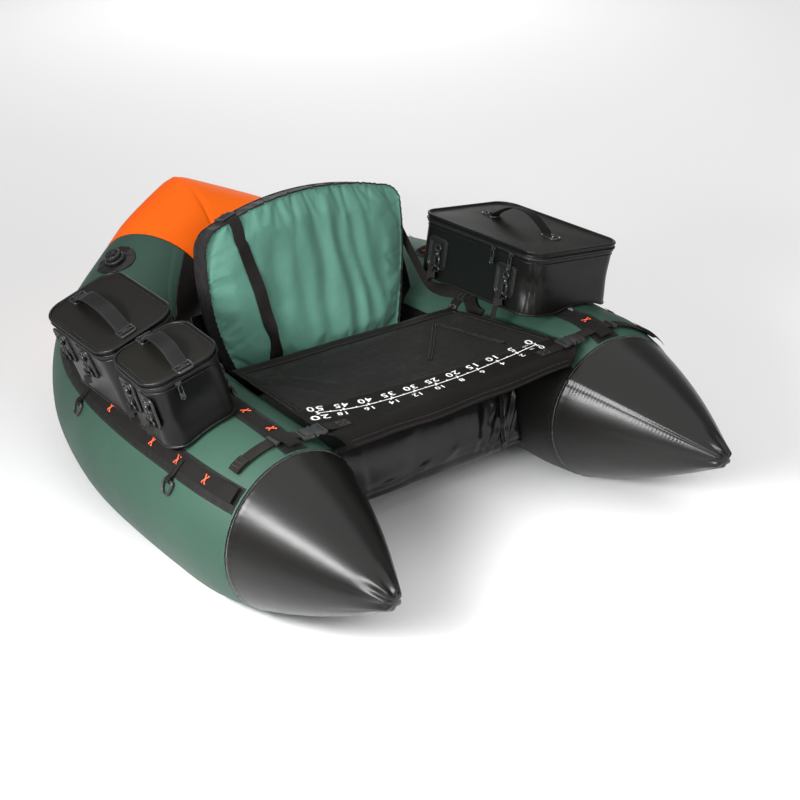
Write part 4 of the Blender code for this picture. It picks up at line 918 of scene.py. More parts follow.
for side, hand in ((-1, "left"), (1, "right")):
    orange = Bits()
    black = Bits()
    for which, deg, last in (("inner", -6.0, s_at_y(0.21)), ("outer", 48.0, s_at_y(0.33))):
        S = np.linspace(0.004, last, 260)
        base, Pt, Nt = strip(side, S, deg, 0.050, 0.0002, 0.0009, 9, name="%s_%s_base_band" % (hand, which), mat=BASE_WEB)
        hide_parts("%s_%s_webbing" % (hand, which))
        for col in (0, -1):
            off = 0.0028 * (1 if col == 0 else -1)
            c = Pt[:, 4] + (Pt[:, col] - Pt[:, 4]) * 0.90
            black.stitches(c[::2], Nt[::2, 4 if True else col], 0.0040, 0.0028, 0.00032, 0.0003)
        # the daisy chain: a narrower strap tacked down at intervals, bowed up between
        tacks = [t for t in TACKS[which] if t < last - 0.02]
        S = np.linspace(0.007, min(last - 0.006, tacks[-1] + 0.03), 420)
        bulge = np.zeros(len(S))
        wander = np.zeros(len(S))
        ends = [0.007 - 0.03] + tacks + [tacks[-1] + 0.09]
        g = rnd(7 + side + (3 if which == "inner" else 0))
        for a, b in zip(ends[:-1], ends[1:]):
            t = (S - a - 0.006) / (b - a - 0.012)
            on = (t > 0) & (t < 1)
            mid = (a + b) / 2
            h = (0.0105 if which == "outer" else 0.0080) * g.uniform(0.8, 1.1)
            if not (clear_of_bags(side, a) and clear_of_bags(side, b) and clear_of_bags(side, mid)):
                h = 0.0
            skew = g.uniform(0.55, 0.8)
            bulge[on] += h * np.sin(np.pi * t[on] ** skew) ** 1.2
            wander[on] += g.uniform(-0.7, 0.7) * np.sin(np.pi * t[on])
            kink = np.exp(-((t - 0.16) / 0.05) ** 2)
            bulge += np.where(on, -0.25 * h * kink, 0)
        centre = deg - (1.5 if which == "outer" else 0.0)
        daisy, Dt, Dn = strip(side, S, centre, 0.0285, 0.0012, 0.0010, 7, bulge, wander, "%s_%s_daisy_chain" % (hand, which), WEB_FINE)
        for t in tacks:
            # the bags' straps lie over these ones
            if side < 0 and which == "outer" and any(abs(t - h) < 0.01 for h in (0.318, 0.470, 0.545, 0.620)):
                continue
            tack(orange, side, t, centre, 0.0034, 0.0190, 0.15 * side)
    orange.make(hand + "_bar_tacks", ORANGE_THREAD)
    black.make(hand + "_band_stitches", BLACK_THREAD)

# D-rings: coated wire in a sewn sleeve
RING_DEG, RING_Y, EAR_H, RING_WIRE, RING_W, RING_H = 59.2, (-0.230, 0.115), 0.0066, 0.0027, 0.032, 0.030
for side, hand in ((-1, "left"), (1, "right")):
    for k, y in enumerate(RING_Y):
        s = s_at_y(y)
        lo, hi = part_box("%s_d_ring_%s" % (hand, ("front", "rear")[k]))
        P, N = tube([s], [RING_DEG], side)
        n = N[0, 0]
        p = P[0, 0] - n * 0.0018
        along = tube([s + 0.01], [RING_DEG], side)[0][0, 0] - P[0, 0]
        along -= (along @ n) * n
        along /= np.linalg.norm(along)
        down = np.cross(along, n)
        if down[2] > 0:
            down, along = -down, -along
        if np.cross(along, down) @ n < 0:
            along = -along
        # the bar lies on the axis that the ring turns about
        p = p + n * ((0.00086, 0.00055) if side < 0 else (0.00148, 0.00090))[k] + down * 0.00075
        M = frame_matrix(p, along, down, n)
        tilt = np.array(Matrix.Translation((0, 0, EAR_H)) @ Matrix.Rotation(math.radians(-7.0), 4, "X"))
        w, h = RING_W / 2 - RING_WIRE, RING_H - 2 * RING_WIRE
        pts = spline([(-w * 0.6, 0, 0), (0, 0, 0), (w * 0.75, 0, 0), (w * 0.98, h * 0.10, 0), (w, h * 0.38, 0), (w * 0.80, h * 0.76, 0), (w * 0.36, h * 0.98, 0), (-w * 0.36, h * 0.98, 0), (-w * 0.80, h * 0.76, 0), (-w, h * 0.38, 0), (-w * 0.98, h * 0.10, 0), (-w * 0.75, 0, 0), (-w * 0.6, 0, 0)], 4)[:-1]
        b = Bits()
        b.tube(place(M @ tilt, pts), RING_WIRE, 12, closed=True)
        # the collar where the coated wire's ends meet
        b.tube(place(M @ tilt, [(w * 0.93, h * 0.50, 0), (w * 0.99, h * 0.62, 0)]), RING_WIRE + 0.0006, 12)
        name = ("front", "rear")[k]
        ring = b.make("%s_ring_wire_%s" % (hand, name), RING, "%s_ring_%s" % (hand, name))
        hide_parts("%s_d_ring_%s" % (hand, name))
        Mi = np.linalg.inv(M)

        def local(deg, off, side=side, s=s, Mi=Mi):
            q = place(Mi, tube([s], [deg], side, off)[0][0])[0]
            return (0.0, q[1], q[2])

        path = spline([local(44.5, 0.0042), local(50, 0.0040), local(55.0, 0.0050), (0, -0.0052, 0.0100), (0, 0.0, EAR_H + 0.0044), (0, 0.0040, EAR_H + 0.0016), (0, 0.0040, EAR_H - 0.0022), (0, 0.0004, 0.0018), (0, -0.0055, 0.0013)], 6)
        b = Bits()
        C = place(M, path)
        b.strap(C, np.tile(along, (len(C), 1)), np.interp(np.arange(len(C)) / len(C), (0, 0.10, 0.24, 1), (0.0190, 0.0170, 0.0120, 0.0120)), 0.0013)
        b.make("%s_ring_sleeve_%s" % (hand, name), WEB_FINE)
        st = Bits()
        for dx in (-0.0048, 0.0048):
            C = place(M, np.array(path[:12]) + (dx, 0, 0.0009))
            st.stitches(C, np.tile(n, (len(C), 1)), 0.0036, 0.0026, 0.0003)
        C = place(M, [(x, path[13][1], path[13][2] + 0.0012) for x in np.linspace(-0.0048, 0.0048, 5)])
        st.stitches(C, np.tile(n, (len(C), 1)), 0.0032, 0.0024, 0.0003)
        st.make("%s_ring_stitches_%s" % (hand, name), BLACK_THREAD)


# ------------------------------------------------------------------ seat cushion and the sling under it
def sling_half(z):
    return 0.3905 - math.sqrt(R0 ** 2 - (z - AXIS_Z) ** 2) - 0.0012


def seat():
    n, m = 64, 56
    V, F = [], []
    hx, y0, y1, lo, hi = 0.200, -0.256, 0.054, 0.096, 0.193
    cx, cy, cz = 0.0, (y0 + y1) / 2, (lo + hi) / 2
    hy, hz = (y1 - y0) / 2, (hi - lo) / 2
    # a boxed cushion: crowned top and bottom, welted edges, its sides pulled in between the corners
    rows = []
    for k in np.linspace(-1, 1, 41):
        rows.append(k)
    th = np.linspace(0, 2 * math.pi, 160, endpoint=False)
    sup = 0.20
    ux = np.sign(np.cos(th)) * np.abs(np.cos(th)) ** sup
    uy = np.sign(np.sin(th)) * np.abs(np.sin(th)) ** sup
    rings = []
    for f, z in [(1.0, -1), (1.0, -0.5), (1.0, 0.0), (1.0, 0.5), (1.0, 1)]:
        bulge = 1.0 + 0.010 * math.cos(z * math.pi / 2)
        pull = 1 - 0.018 * (np.abs(ux * uy) < 0.92) * (1 - np.abs(ux * uy))
        rings.append(np.stack([cx + ux * hx * f * bulge * pull, cy + uy * hy * f * bulge * pull, np.full(len(th), cz + z * hz * 0.80)], 1))
    top, bottom = [], []
    for f in np.linspace(0.985, 0.0, 26)[:-1]:
        h = hz * (0.80 + 0.20 * (1 - f ** 2.6))
        quilt = 0.0022 * np.exp(-((f * hy * np.abs(uy) - 0.052) / 0.005) ** 2)
        rim = 0.002 * math.exp(-((f - 0.96) / 0.02) ** 2)
        x, y = cx + ux * hx * f, cy + uy * hy * f
        soft = 0.0012 * np.sin(x * 31 + 1) * np.cos(y * 27)
        top.append(np.stack([x, y, cz + h - quilt - rim + soft], 1))
        bottom.append(np.stack([x, y, cz - h + rim + 0 * soft], 1))
    P = np.array(bottom[::-1] + rings + top)
    n_r, n_t = P.shape[:2]
    V = P.reshape(-1, 3)
    for i in range(n_r - 1):
        for k in range(n_t):
            l = (k + 1) % n_t
            F.append((i * n_t + k, i * n_t + l, (i + 1) * n_t + l, (i + 1) * n_t + k))
    F.append(list(range(n_t))[::-1])
    F.append([(n_r - 1) * n_t + k for k in range(n_t)])
    ob = mesh_object("seat_cushion_cover", V, F, nylon("seat_cloth", (26, 26, 27), (18, 18, 19), (52, 52, 53), axes=(0, 1)))
    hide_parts("seat_cushion")
    b = Bits()
    for z in (0, 4):
        b.tube(P[len(bottom) + z] * (1, 1, 1), 0.0021, 8, closed=True)
    b.make("seat_welts", RUBBER)

    # sling: glossy film between the pontoons, gathered where it is sewn at the right
    prof = spline([(-0.2660, 0.2080), (-0.2740, 0.1900), (-0.2790, 0.1600), (-0.2790, 0.1250), (-0.2760, 0.1000), (-0.2680, 0.0810), (-0.2500, 0.0745), (-0.2100, 0.0755), (-0.1200, 0.0770), (0.0200, 0.0795), (0.0620, 0.0860), (0.0830, 0.1080), (0.0930, 0.1500), (0.1010, 0.1950), (0.1130, 0.2400), (0.1260, 0.2900), (0.1400, 0.3250), (0.1480, 0.3450)], 9)
    nu = 150
    P = np.empty((len(prof), nu, 3))
    for i, (y, z) in enumerate(prof):
        h = sling_half(min(max(z, 0.08), 0.24)) if y < 0 else sling_half(min(max(z, 0.08), AXIS_Z + R0 * 0.65))
        u = np.linspace(-1, 1, nu)
        P[i] = np.stack([u * h, np.full(nu, y), np.full(nu, z)], 1)
    x, y, z = P[..., 0], P[..., 1], P[..., 2]
    front = np.clip((-0.20 - y) / 0.05, 0, 1) * np.clip((0.212 - z) / 0.02, 0, 1)
    edge = np.clip((np.abs(x) - 0.15) / 0.07, 0, 1)
    low = np.clip((0.20 - z) / 0.11, 0, 1)
    d = 0.0
    # folds run down and in from the right seam, a few from the left, and one soft roll along the bottom
    for cx, slope, wide, deep in ((0.205, 0.30, 0.0042, 0.0085), (0.180, 0.42, 0.0060, 0.0065), (0.150, 0.30, 0.0075, 0.0050), (0.118, 0.10, 0.0090, 0.0030), (-0.190, -0.35, 0.0060, 0.0050), (-0.158, -0.20, 0.0085, 0.0036), (-0.060, 0.15, 0.016, 0.0022), (0.040, -0.10, 0.018, 0.0022)):
        q = (x - cx - slope * (z - 0.15)) / wide
        d = d + deep * (np.exp(-q * q) - 0.55 * np.exp(-((q - 1.9) / 1.1) ** 2))
    d = d * np.clip((z - 0.085) / 0.03, 0, 1) ** 0.7
    d = d + 0.0035 * np.exp(-((z - 0.118 - 0.012 * np.sin(x * 14)) / 0.010) ** 2) - 0.0030 * np.exp(-((z - 0.096 - 0.008 * np.sin(x * 11 + 1)) / 0.006) ** 2)
    d = d + smooth_noise(P * (1, 1, 0.7), 17.0, 3.0) * 0.0030 + smooth_noise(P * (1, 1, 0.6), 44.0, 9.0) * 0.0006
    # crumpled highlights: one peak by the seam and a few along the bottom roll
    for cx, cz, wx, wz, lean, h in ((0.172, 0.186, 0.014, 0.013, 0.7, 0.0085), (0.146, 0.150, 0.010, 0.011, -0.5, 0.0060), (-0.012, 0.118, 0.022, 0.009, 0.3, 0.0055), (-0.100, 0.112, 0.030, 0.008, 0.1, 0.0060), (0.060, 0.128, 0.018, 0.010, 0.5, 0.0048)):
        q, r = (x - cx) / wx, (z - cz - lean * (x - cx)) / wz
        d = d + h * np.exp(-np.abs(q) ** 1.5) * np.exp(-np.abs(r) ** 1.3)
    P[..., 1] -= 0.62 * d * front
    P[..., 2] += smooth_noise(P, 14.0, 5.0) * 0.0022 * np.clip((y + 0.26) / 0.03, 0, 1) * np.clip((0.05 - y) / 0.02, 0, 1)
    ob = skin("seat_sling_film", P, SKIRT, 1, thick=0.0016, offset=0.0)
    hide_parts("seat_sling")
    # sewn seam down the right of the front panel, with the binding that shows beside the folds
    i0, i1 = 3, 50
    j = int(nu * 0.905)
    b = Bits()
    C = P[i0:i1, j] + (0, -0.0022, 0)
    b.strap(C, np.tile((1.0, 0.15, 0), (len(C), 1)), 0.012, 0.0012)
    b.make("sling_seam_binding", RUBBER)
    b = Bits()
    for dx in (-0.0045, 0.0045):
        b.stitches(C + (dx, -0.0009, 0), np.tile((0, -1.0, 0), (len(C), 1)), 0.0042, 0.0030, 0.00034)
    b.make("sling_seam_stitches", GREY_THREAD)
    # bound hem along the top of the front panel
    b = Bits()
    C = P[1, 3:-3] + (0, -0.0014, 0)
    b.strap(C, np.tile((0, 0, 1.0), (len(C), 1)), 0.020, 0.0014)
    b.make("sling_top_hem", WEB)


seat()


# ------------------------------------------------------------------ backrest
BACK_H, BACK_CROWN, BACK_L0, BACK_R0, BACK_W1, BACK_T, BACK_FRONT, BACK_LOW = 0.322, 0.046, 0.208, 0.178, 0.474, 0.054, -0.036, 0.016
BACK = np.array(Matrix.Translation((0.0, 0.070, 0.196)) @ Matrix.Rotation(math.radians(-15.0), 4, "X"))


def back_halves(f):
    """Half widths of the backrest's face to its left and right at f of its height; the left edge bellies out."""
    f = np.clip(f, 0, 1)
    t = np.sin(f * np.pi / 2)
    return (BACK_L0 + (BACK_W1 / 2 - BACK_L0) * t + 0.022 * np.sin(np.pi * f ** 0.8) ** 0.9,
            BACK_R0 + (BACK_W1 / 2 - BACK_R0) * t)


def back_xz(u, f, inset):
    """A point of the backrest's face: u 0 to 1 from its left, f 0 to 1 up it."""
    hl, hr = back_halves(f)
    hl, hr = hl - inset, hr - inset
    x = -hl + (hl + hr) * u
    a = np.clip(x / (BACK_W1 / 2), -1, 1)
    top = BACK_H + BACK_CROWN * (1 - a * a) - inset
    low = BACK_LOW + inset
    return x, low + (top - low) * f, hl + hr, top - low


def back_grid(nu, nf, inset, radius):
    u, f = np.meshgrid(np.linspace(0, 1, nu), np.linspace(0, 1, nf), indexing="ij")
    _, _, wide, tall = back_xz(u, f, inset)
    # round the corners: the unit square's corner cells map to quarter discs
    dx = np.minimum(u, 1 - u) * wide
    dz = np.minimum(f, 1 - f) * tall
    px, pz = np.clip(radius - dx, 0, radius) / radius, np.clip(radius - dz, 0, radius) / radius
    top = f > 0.5
    both = (px > 0) & (pz > 0)
    k = np.where(top, 1.0, 0.45)
    qx = np.where(both, px * np.sqrt(1 - pz ** 2 / 2), px)
    qz = np.where(both, pz * np.sqrt(1 - px ** 2 / 2), pz)
    du, df = (px - qx) * radius * k / wide, (pz - qz) * radius * k / tall
    u2 = np.where(u < 0.5, u + du, u - du)
    f2 = np.where(f < 0.5, f + df, f - df)
    x, z, _, _ = back_xz(u2, f2, inset)
    return x, z


def backrest():
    nu, nf, ng = 84, 66, 9
    x, z = back_grid(nu, nf, 0.006, 0.026)
    y0, y1 = BACK_FRONT + 0.006, BACK_FRONT + BACK_T - 0.004
    V = []
    front = np.stack([x, np.full_like(x, y0), z], -1)
    back = np.stack([x, np.full_like(x, y1), z], -1)
    ring = [(i, 0) for i in range(nu)] + [(nu - 1, j) for j in range(1, nf)] + [(i, nf - 1) for i in range(nu - 2, -1, -1)] + [(0, j) for j in range(nf - 2, 0, -1)]
    V = [front.reshape(-1, 3), back.reshape(-1, 3)]
    nfr = nu * nf
    mids = []
    loop_f = np.array([front[i, j] for i, j in ring])
    loop_b = np.array([back[i, j] for i, j in ring])
    m = len(ring)
    for k in range(1, ng):
        t = k / ng
        V.append(loop_f + (loop_b - loop_f) * t)
    V = np.concatenate(V)
    F, idx = [], []
    for i in range(nu - 1):
        for j in range(nf - 1):
            a, b, c, d = i * nf + j, (i + 1) * nf + j, (i + 1) * nf + j + 1, i * nf + j + 1
            F.append((a, b, c, d))
            idx.append(0)
            F.append((a + nfr, d + nfr, c + nfr, b + nfr))
            idx.append(2)

    def ringv(k, q):
        q %= m
        i, j = ring[q]
        if k == 0:
            return i * nf + j
        if k == ng:
            return nfr + i * nf + j
        return 2 * nfr + (k - 1) * m + q

    for k in range(ng):
        for q in range(m):
            F.append((ringv(k, q), ringv(k + 1, q), ringv(k + 1, q + 1), ringv(k, q + 1)))
            idx.append(1)
    me = bpy.data.meshes.new("backrest_cushion")
    me.from_pydata(V.tolist(), [], F)
    me.update()
    for mt in (CLOTH, GUSSET, GUSSET):
        me.materials.append(mt)
    me.polygons.foreach_set("material_index", np.array(idx, np.int32))
    me.shade_smooth()
    ob = bpy.data.objects.new("backrest_cushion", me)
    bpy.context.scene.collection.objects.link(ob)
    base = V.copy()
    # pinned: the back panel wholly, the front seam and gusset partly
    pin = np.zeros(len(V))
    pin[nfr:2 * nfr] = 1.0
    for k in range(ng + 1):
        for q in range(m):
            pin[ringv(k, q)] = max(0.55, k / ng)
    vg = ob.vertex_groups.new(name="pin")
    for w in np.unique(np.round(pin, 2)):
        if w > 0:
            vg.add([int(i) for i in np.nonzero(np.round(pin, 2) == w)[0]], float(w), "REPLACE")
    mod = ob.modifiers.new("cloth", "CLOTH")
    s = mod.settings
    s.quality = 7
    s.mass = 0.20
    s.tension_stiffness = s.compression_stiffness = 12
    s.shear_stiffness = 4
    s.bending_stiffness = 0.35
    s.vertex_group_mass = "pin"
    s.pin_stiffness = 2.0
    s.use_pressure = True
    s.uniform_pressure_force = 4.0
    s.shrink_min = -0.045
    s.effector_weights.gravity = 0.0
    mod.collision_settings.use_collision = False
    sc = bpy.context.scene
    for fr in range(1, 21):
        sc.frame_set(fr)
    dg = bpy.context.evaluated_depsgraph_get()
    ev = ob.evaluated_get(dg)
    co = np.empty(len(V) * 3)
    ev.to_mesh().vertices.foreach_get("co", co)
    ev.to_mesh_clear()
    ob.modifiers.remove(mod)
    sc.frame_set(1)
    co = co.reshape(-1, 3)
    d = co - base
    L = np.linalg.norm(d, axis=1)
    cap = 0.016
    d *= (np.minimum(L, cap) / np.maximum(L, 1e-9))[:, None]
    d[nfr:2 * nfr] *= 0.25
    new = base + d
    print("backrest cloth moved", round(float(L.max()) * 1000, 1), "mm at most")
    me.vertices.foreach_set("co", new.ravel())
    # finer mesh for the sewn detail
    sub = ob.modifiers.new("sub", "SUBSURF")
    sub.levels = sub.render_levels = 1
    dg = bpy.context.evaluated_depsgraph_get()
    fine = bpy.data.meshes.new_from_object(ob.evaluated_get(dg))
    ob.modifiers.clear()
    ob.data = fine
    n = len(fine.vertices)
    co = np.empty(n * 3)
    fine.vertices.foreach_get("co", co)
    co = co.reshape(-1, 3)
    nr = np.empty(n * 3)
    fine.vertices.foreach_get("normal", nr)
    nr = nr.reshape(-1, 3)
    X, Y, Z = co[:, 0].copy(), co[:, 1].copy(), co[:, 2].copy()
    a = np.clip(X / (BACK_W1 / 2), -1, 1)
    topz = BACK_H + BACK_CROWN * (1 - a * a) - 0.006
    from_top = topz - Z
    hl, hr = back_halves((Z - BACK_LOW) / (BACK_H - BACK_LOW))
    from_left, from_right = X + hl, hr - X
    face = np.clip((-nr[:, 1] - 0.25) / 0.4, 0, 1)
    d = np.zeros(n)
    # long soft valleys down the face, where the foam panels meet
    for cx, lean, wide, deep, lo, hi in ((-0.098, 0.10, 0.011, 0.0046, 0.10, 0.30), (0.010, 0.03, 0.009, 0.0052, 0.03, 0.34), (0.070, -0.04, 0.007, 0.0058, 0.02, 0.35), (0.105, -0.10, 0.007, 0.0046, 0.05, 0.35), (0.155, -0.05, 0.010, 0.0030, 0.05, 0.28), (-0.040, 0.06, 0.013, 0.0030, 0.04, 0.24), (-0.150, -0.06, 0.010, 0.0026, 0.02, 0.18)):
        q = (X - cx - lean * (Z - 0.18) - 0.004 * np.sin(Z * 34 + cx * 40)) / (wide * 1.7)
        win = np.clip((Z - lo) / 0.05, 0, 1) * np.clip((hi - Z) / 0.06, 0, 1)
        d += 0.85 * deep * win * (-np.exp(-q * q) + 0.45 * np.exp(-((np.abs(q) - 1.9) / 0.9) ** 2))
    # gathers fanning down from the top seam and in from the side seams
    for cx, slope, deep, run in ((-0.178, 0.25, 0.0030, 0.05), (-0.120, -0.18, 0.0022, 0.045), (-0.060, 0.12, 0.0026, 0.06), (-0.022, -0.20, 0.0034, 0.08), (0.004, 0.10, 0.0040, 0.10), (0.040, -0.12, 0.0026, 0.06), (0.072, 0.06, 0.0044, 0.12), (0.098, -0.10, 0.0040, 0.10), (0.124, 0.16, 0.0030, 0.07), (0.160, -0.25, 0.0026, 0.05), (0.196, 0.30, 0.0028, 0.05)):
        q = (X - cx - slope * from_top) / (0.0040 + 0.05 * np.clip(from_top, 0, 1))
        d -= deep * np.exp(-q * q) * np.exp(-np.clip(from_top, 0, 1) / run) * np.clip(from_top / 0.006, 0, 1)
    g = rnd(5)
    for k in range(16):
        cz, slope, deep, run = 0.035 + 0.018 * k + g.uniform(-0.004, 0.004), g.uniform(-0.5, 0.4), g.uniform(0.0010, 0.0026), g.uniform(0.02, 0.05)
        for near, amp in ((from_left, 1.0), (from_right, 0.8)):
            q = (Z - cz - slope * near) / (0.0034 + 0.05 * np.clip(near, 0, 1))
            d -= amp * deep * np.exp(-q * q) * np.exp(-np.clip(near, 0, 1) / run) * np.clip(near / 0.006, 0, 1)
    # a broad sag to the lower left, as it is leaned on
    d += 0.0022 * np.sin(X * 17 + 0.6) * np.sin(Z * 15)
    d += 0.0016 * smooth_noise(co, 16.0, 2.0) + 0.0006 * smooth_noise(co, 48.0, 6.0)
    # seam groove where the green face meets the black gusset
    seam = np.minimum(np.minimum(from_top, np.minimum(from_left, from_right) - 0.006), Z - BACK_LOW - 0.006)
    pucker = np.sin(X * 560) * np.sin(Z * 510 + 1.0)
    d += face * 0.0004 * pucker * np.exp(-((seam - 0.008) / 0.006) ** 2)
    co[:, 1] -= d * face
    side_d = 0.0012 * smooth_noise(co, 40.0, 12.0) + 0.0008 * np.sin(X * 190 + Z * 160)
    co += nr * (side_d * (1 - face) * (nr[:, 1] < 0.6))[:, None]
    co[:, 1] = np.minimum(co[:, 1], BACK_FRONT + BACK_T + 0.002)
    co[:, 2] = np.maximum(co[:, 2], 0.004)
    fine.vertices.foreach_set("co", (place(BACK, co) + O).ravel())
    fine.update()
    fine.shade_smooth()
    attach(ob, "backrest")
    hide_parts("backrest_pad", "backrest_border", "backrest_board")

    # welt along the front seam and along the back edge, following the sewn edges
    vg_front = [i * nf + j for i, j in ring]
    loop = new[vg_front]
    b = Bits()
    L = place(BACK, np.concatenate([loop, loop[:1]])[:-1])
    b.tube(L, 0.0016, 8, closed=True)
    lb = place(BACK, new[[nfr + i * nf + j for i, j in ring]])
    b.tube(lb, 0.0018, 8, closed=True)
    b.make("backrest_welts", GUSSET, "backrest")
    # twin rows of stitches on the gusset
    b = Bits()
    for k, off in ((2, 0.0008), (ng - 1, 0.0008)):
        r = new[[ringv(k, q) for q in range(m)] + [ringv(k, 0)]]
        c = r.mean(0)
        t = np.gradient(r, axis=0)
        nn = np.cross(t, (0, 1.0, 0))
        nn /= np.maximum(np.linalg.norm(nn, axis=1), 1e-9)[:, None]
        nn *= np.sign((nn * (r - c)).sum(1))[:, None]
        b.stitches(place(BACK, r + nn * off), nn @ BACK[:3, :3].T, 0.0048, 0.0032, 0.00038)
    b.make("backrest_stitches", BLACK_THREAD, "backrest")

    # ------------------------------ left strap: over the top edge and down the face, with a half twist
    from mathutils.bvhtree import BVHTree
    tree = BVHTree.FromPolygons([tuple(p) for p in (co)], [tuple(p.vertices) for p in fine.polygons])

    def face_y(x, z, default):
        hit = tree.ray_cast(Vector((x, -0.3, z)), Vector((0, 1, 0)))
        return hit[0][1] if hit[0] is not None else default

    def top_z(x, y, default):
        hit = tree.ray_cast(Vector((x, y, 0.7)), Vector((0, 0, -1)))
        return hit[0][2] if hit[0] is not None else default

    w = 0.025
    lx = -0.165
    C, A = [], []
    for y in np.linspace(BACK_FRONT + 0.058, BACK_FRONT + 0.010, 10):
        slope = (top_z(lx + 0.01, y, 0.36) - top_z(lx - 0.01, y, 0.35)) / 0.02
        slope = min(max(slope, -0.6), 0.6)
        C.append((lx, y, top_z(lx, min(max(y, BACK_FRONT + 0.010), BACK_FRONT + 0.048), 0.35) + 0.0024))
        A.append((1, 0, slope))
    zt = top_z(lx, BACK_FRONT + 0.012, 0.345)
    C += [(lx, BACK_FRONT - 0.001, zt - 0.001), (lx + 0.001, face_y(lx, zt - 0.022, BACK_FRONT) - 0.0034, zt - 0.016)]
    A += [(1, 0, 0.25), (1, 0, 0.12)]
    zs = np.linspace(zt - 0.04, 0.020, 26)
    for k, zz in enumerate(zs):
        f = k / 25
        xx = lx + 0.012 * math.sin(f * 2.4) + 0.026 * f
        roll = 1.25 * math.exp(-((f - 0.74) / 0.13) ** 2) + 0.35 * math.exp(-((f - 0.36) / 0.12) ** 2)
        stand = 0.0030 + 0.0105 * math.sin(min(roll, 1.5)) * 0.9
        C.append((xx, face_y(xx, zz, BACK_FRONT - 0.004) - stand, zz))
        A.append((math.cos(roll), -math.sin(roll), -0.10 - 0.1 * f))
    C = spline(C, 3)
    A = spline(A, 3)
    b = Bits()
    b.strap(place(BACK, C), A @ BACK[:3, :3].T, w, 0.0015, 7)
    ob2 = b.make("left_strap_webbing", WEB, "backrest")
    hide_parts("left_backrest_strap")
    b = Bits()
    for sg in (-1, 1):
        for q in (0.010, 0.016, 0.022):
            zz = 0.020 + q
            xx = lx + 0.012 * math.sin(2.4) + 0.026
        pts = [(xx - 0.009 * sg, face_y(xx, 0.032, -0.04) - 0.0044, 0.022), (xx + 0.009 * sg, face_y(xx, 0.042, -0.04) - 0.0044, 0.046)]
        b.stitches(place(BACK, pts), np.tile(-BACK[:3, 1], (2, 1)), 0.0030, 0.0024, 0.0004)
    b.make("left_strap_stitches", BLACK_THREAD, "backrest")
    # ladder-lock buckle on the top edge: side rails, a fixed bar, two tilted bars and a lip
    zl = top_z(lx, BACK_FRONT + 0.032, 0.35)
    slope = (top_z(lx + 0.012, BACK_FRONT + 0.032, 0.35) - top_z(lx - 0.012, BACK_FRONT + 0.032, 0.35)) / 0.024
    M = BACK @ np.array(Matrix.Translation((lx, BACK_FRONT + 0.031, zl + 0.0046)) @ Matrix.Rotation(-math.atan(min(max(slope, -0.5), 0.5)), 4, "Y"))
    ob3 = ladder_lock("left_ladder_lock", M, "backrest")
    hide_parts("left_ladder_buckle")


def ladder_lock(name, M, body):
    b = Bits()

    def at(x, y, z, rx=0.0):
        return M @ np.array(Matrix.Translation((x, y, z)) @ Matrix.Rotation(rx, 4, "X"))

    for sg in (-1, 1):
        b.box(at(sg * 0.0152, 0, 0), (0.0046, 0.0300, 0.0058), 0.0012)
    b.box(at(0, 0.0128, 0.0), (0.0310, 0.0044, 0.0050), 0.0012)
    b.box(at(0, 0.0012, 0.0012, 0.3), (0.0290, 0.0042, 0.0034), 0.0009)
    b.box(at(0, -0.0072, 0.0006, -0.35), (0.0290, 0.0036, 0.0034), 0.0009)
    b.box(at(0, -0.0136, 0.0012, -0.5), (0.0330, 0.0042, 0.0040), 0.0012)
    return b.make(name, PLASTIC, body, angle=40)


backrest()


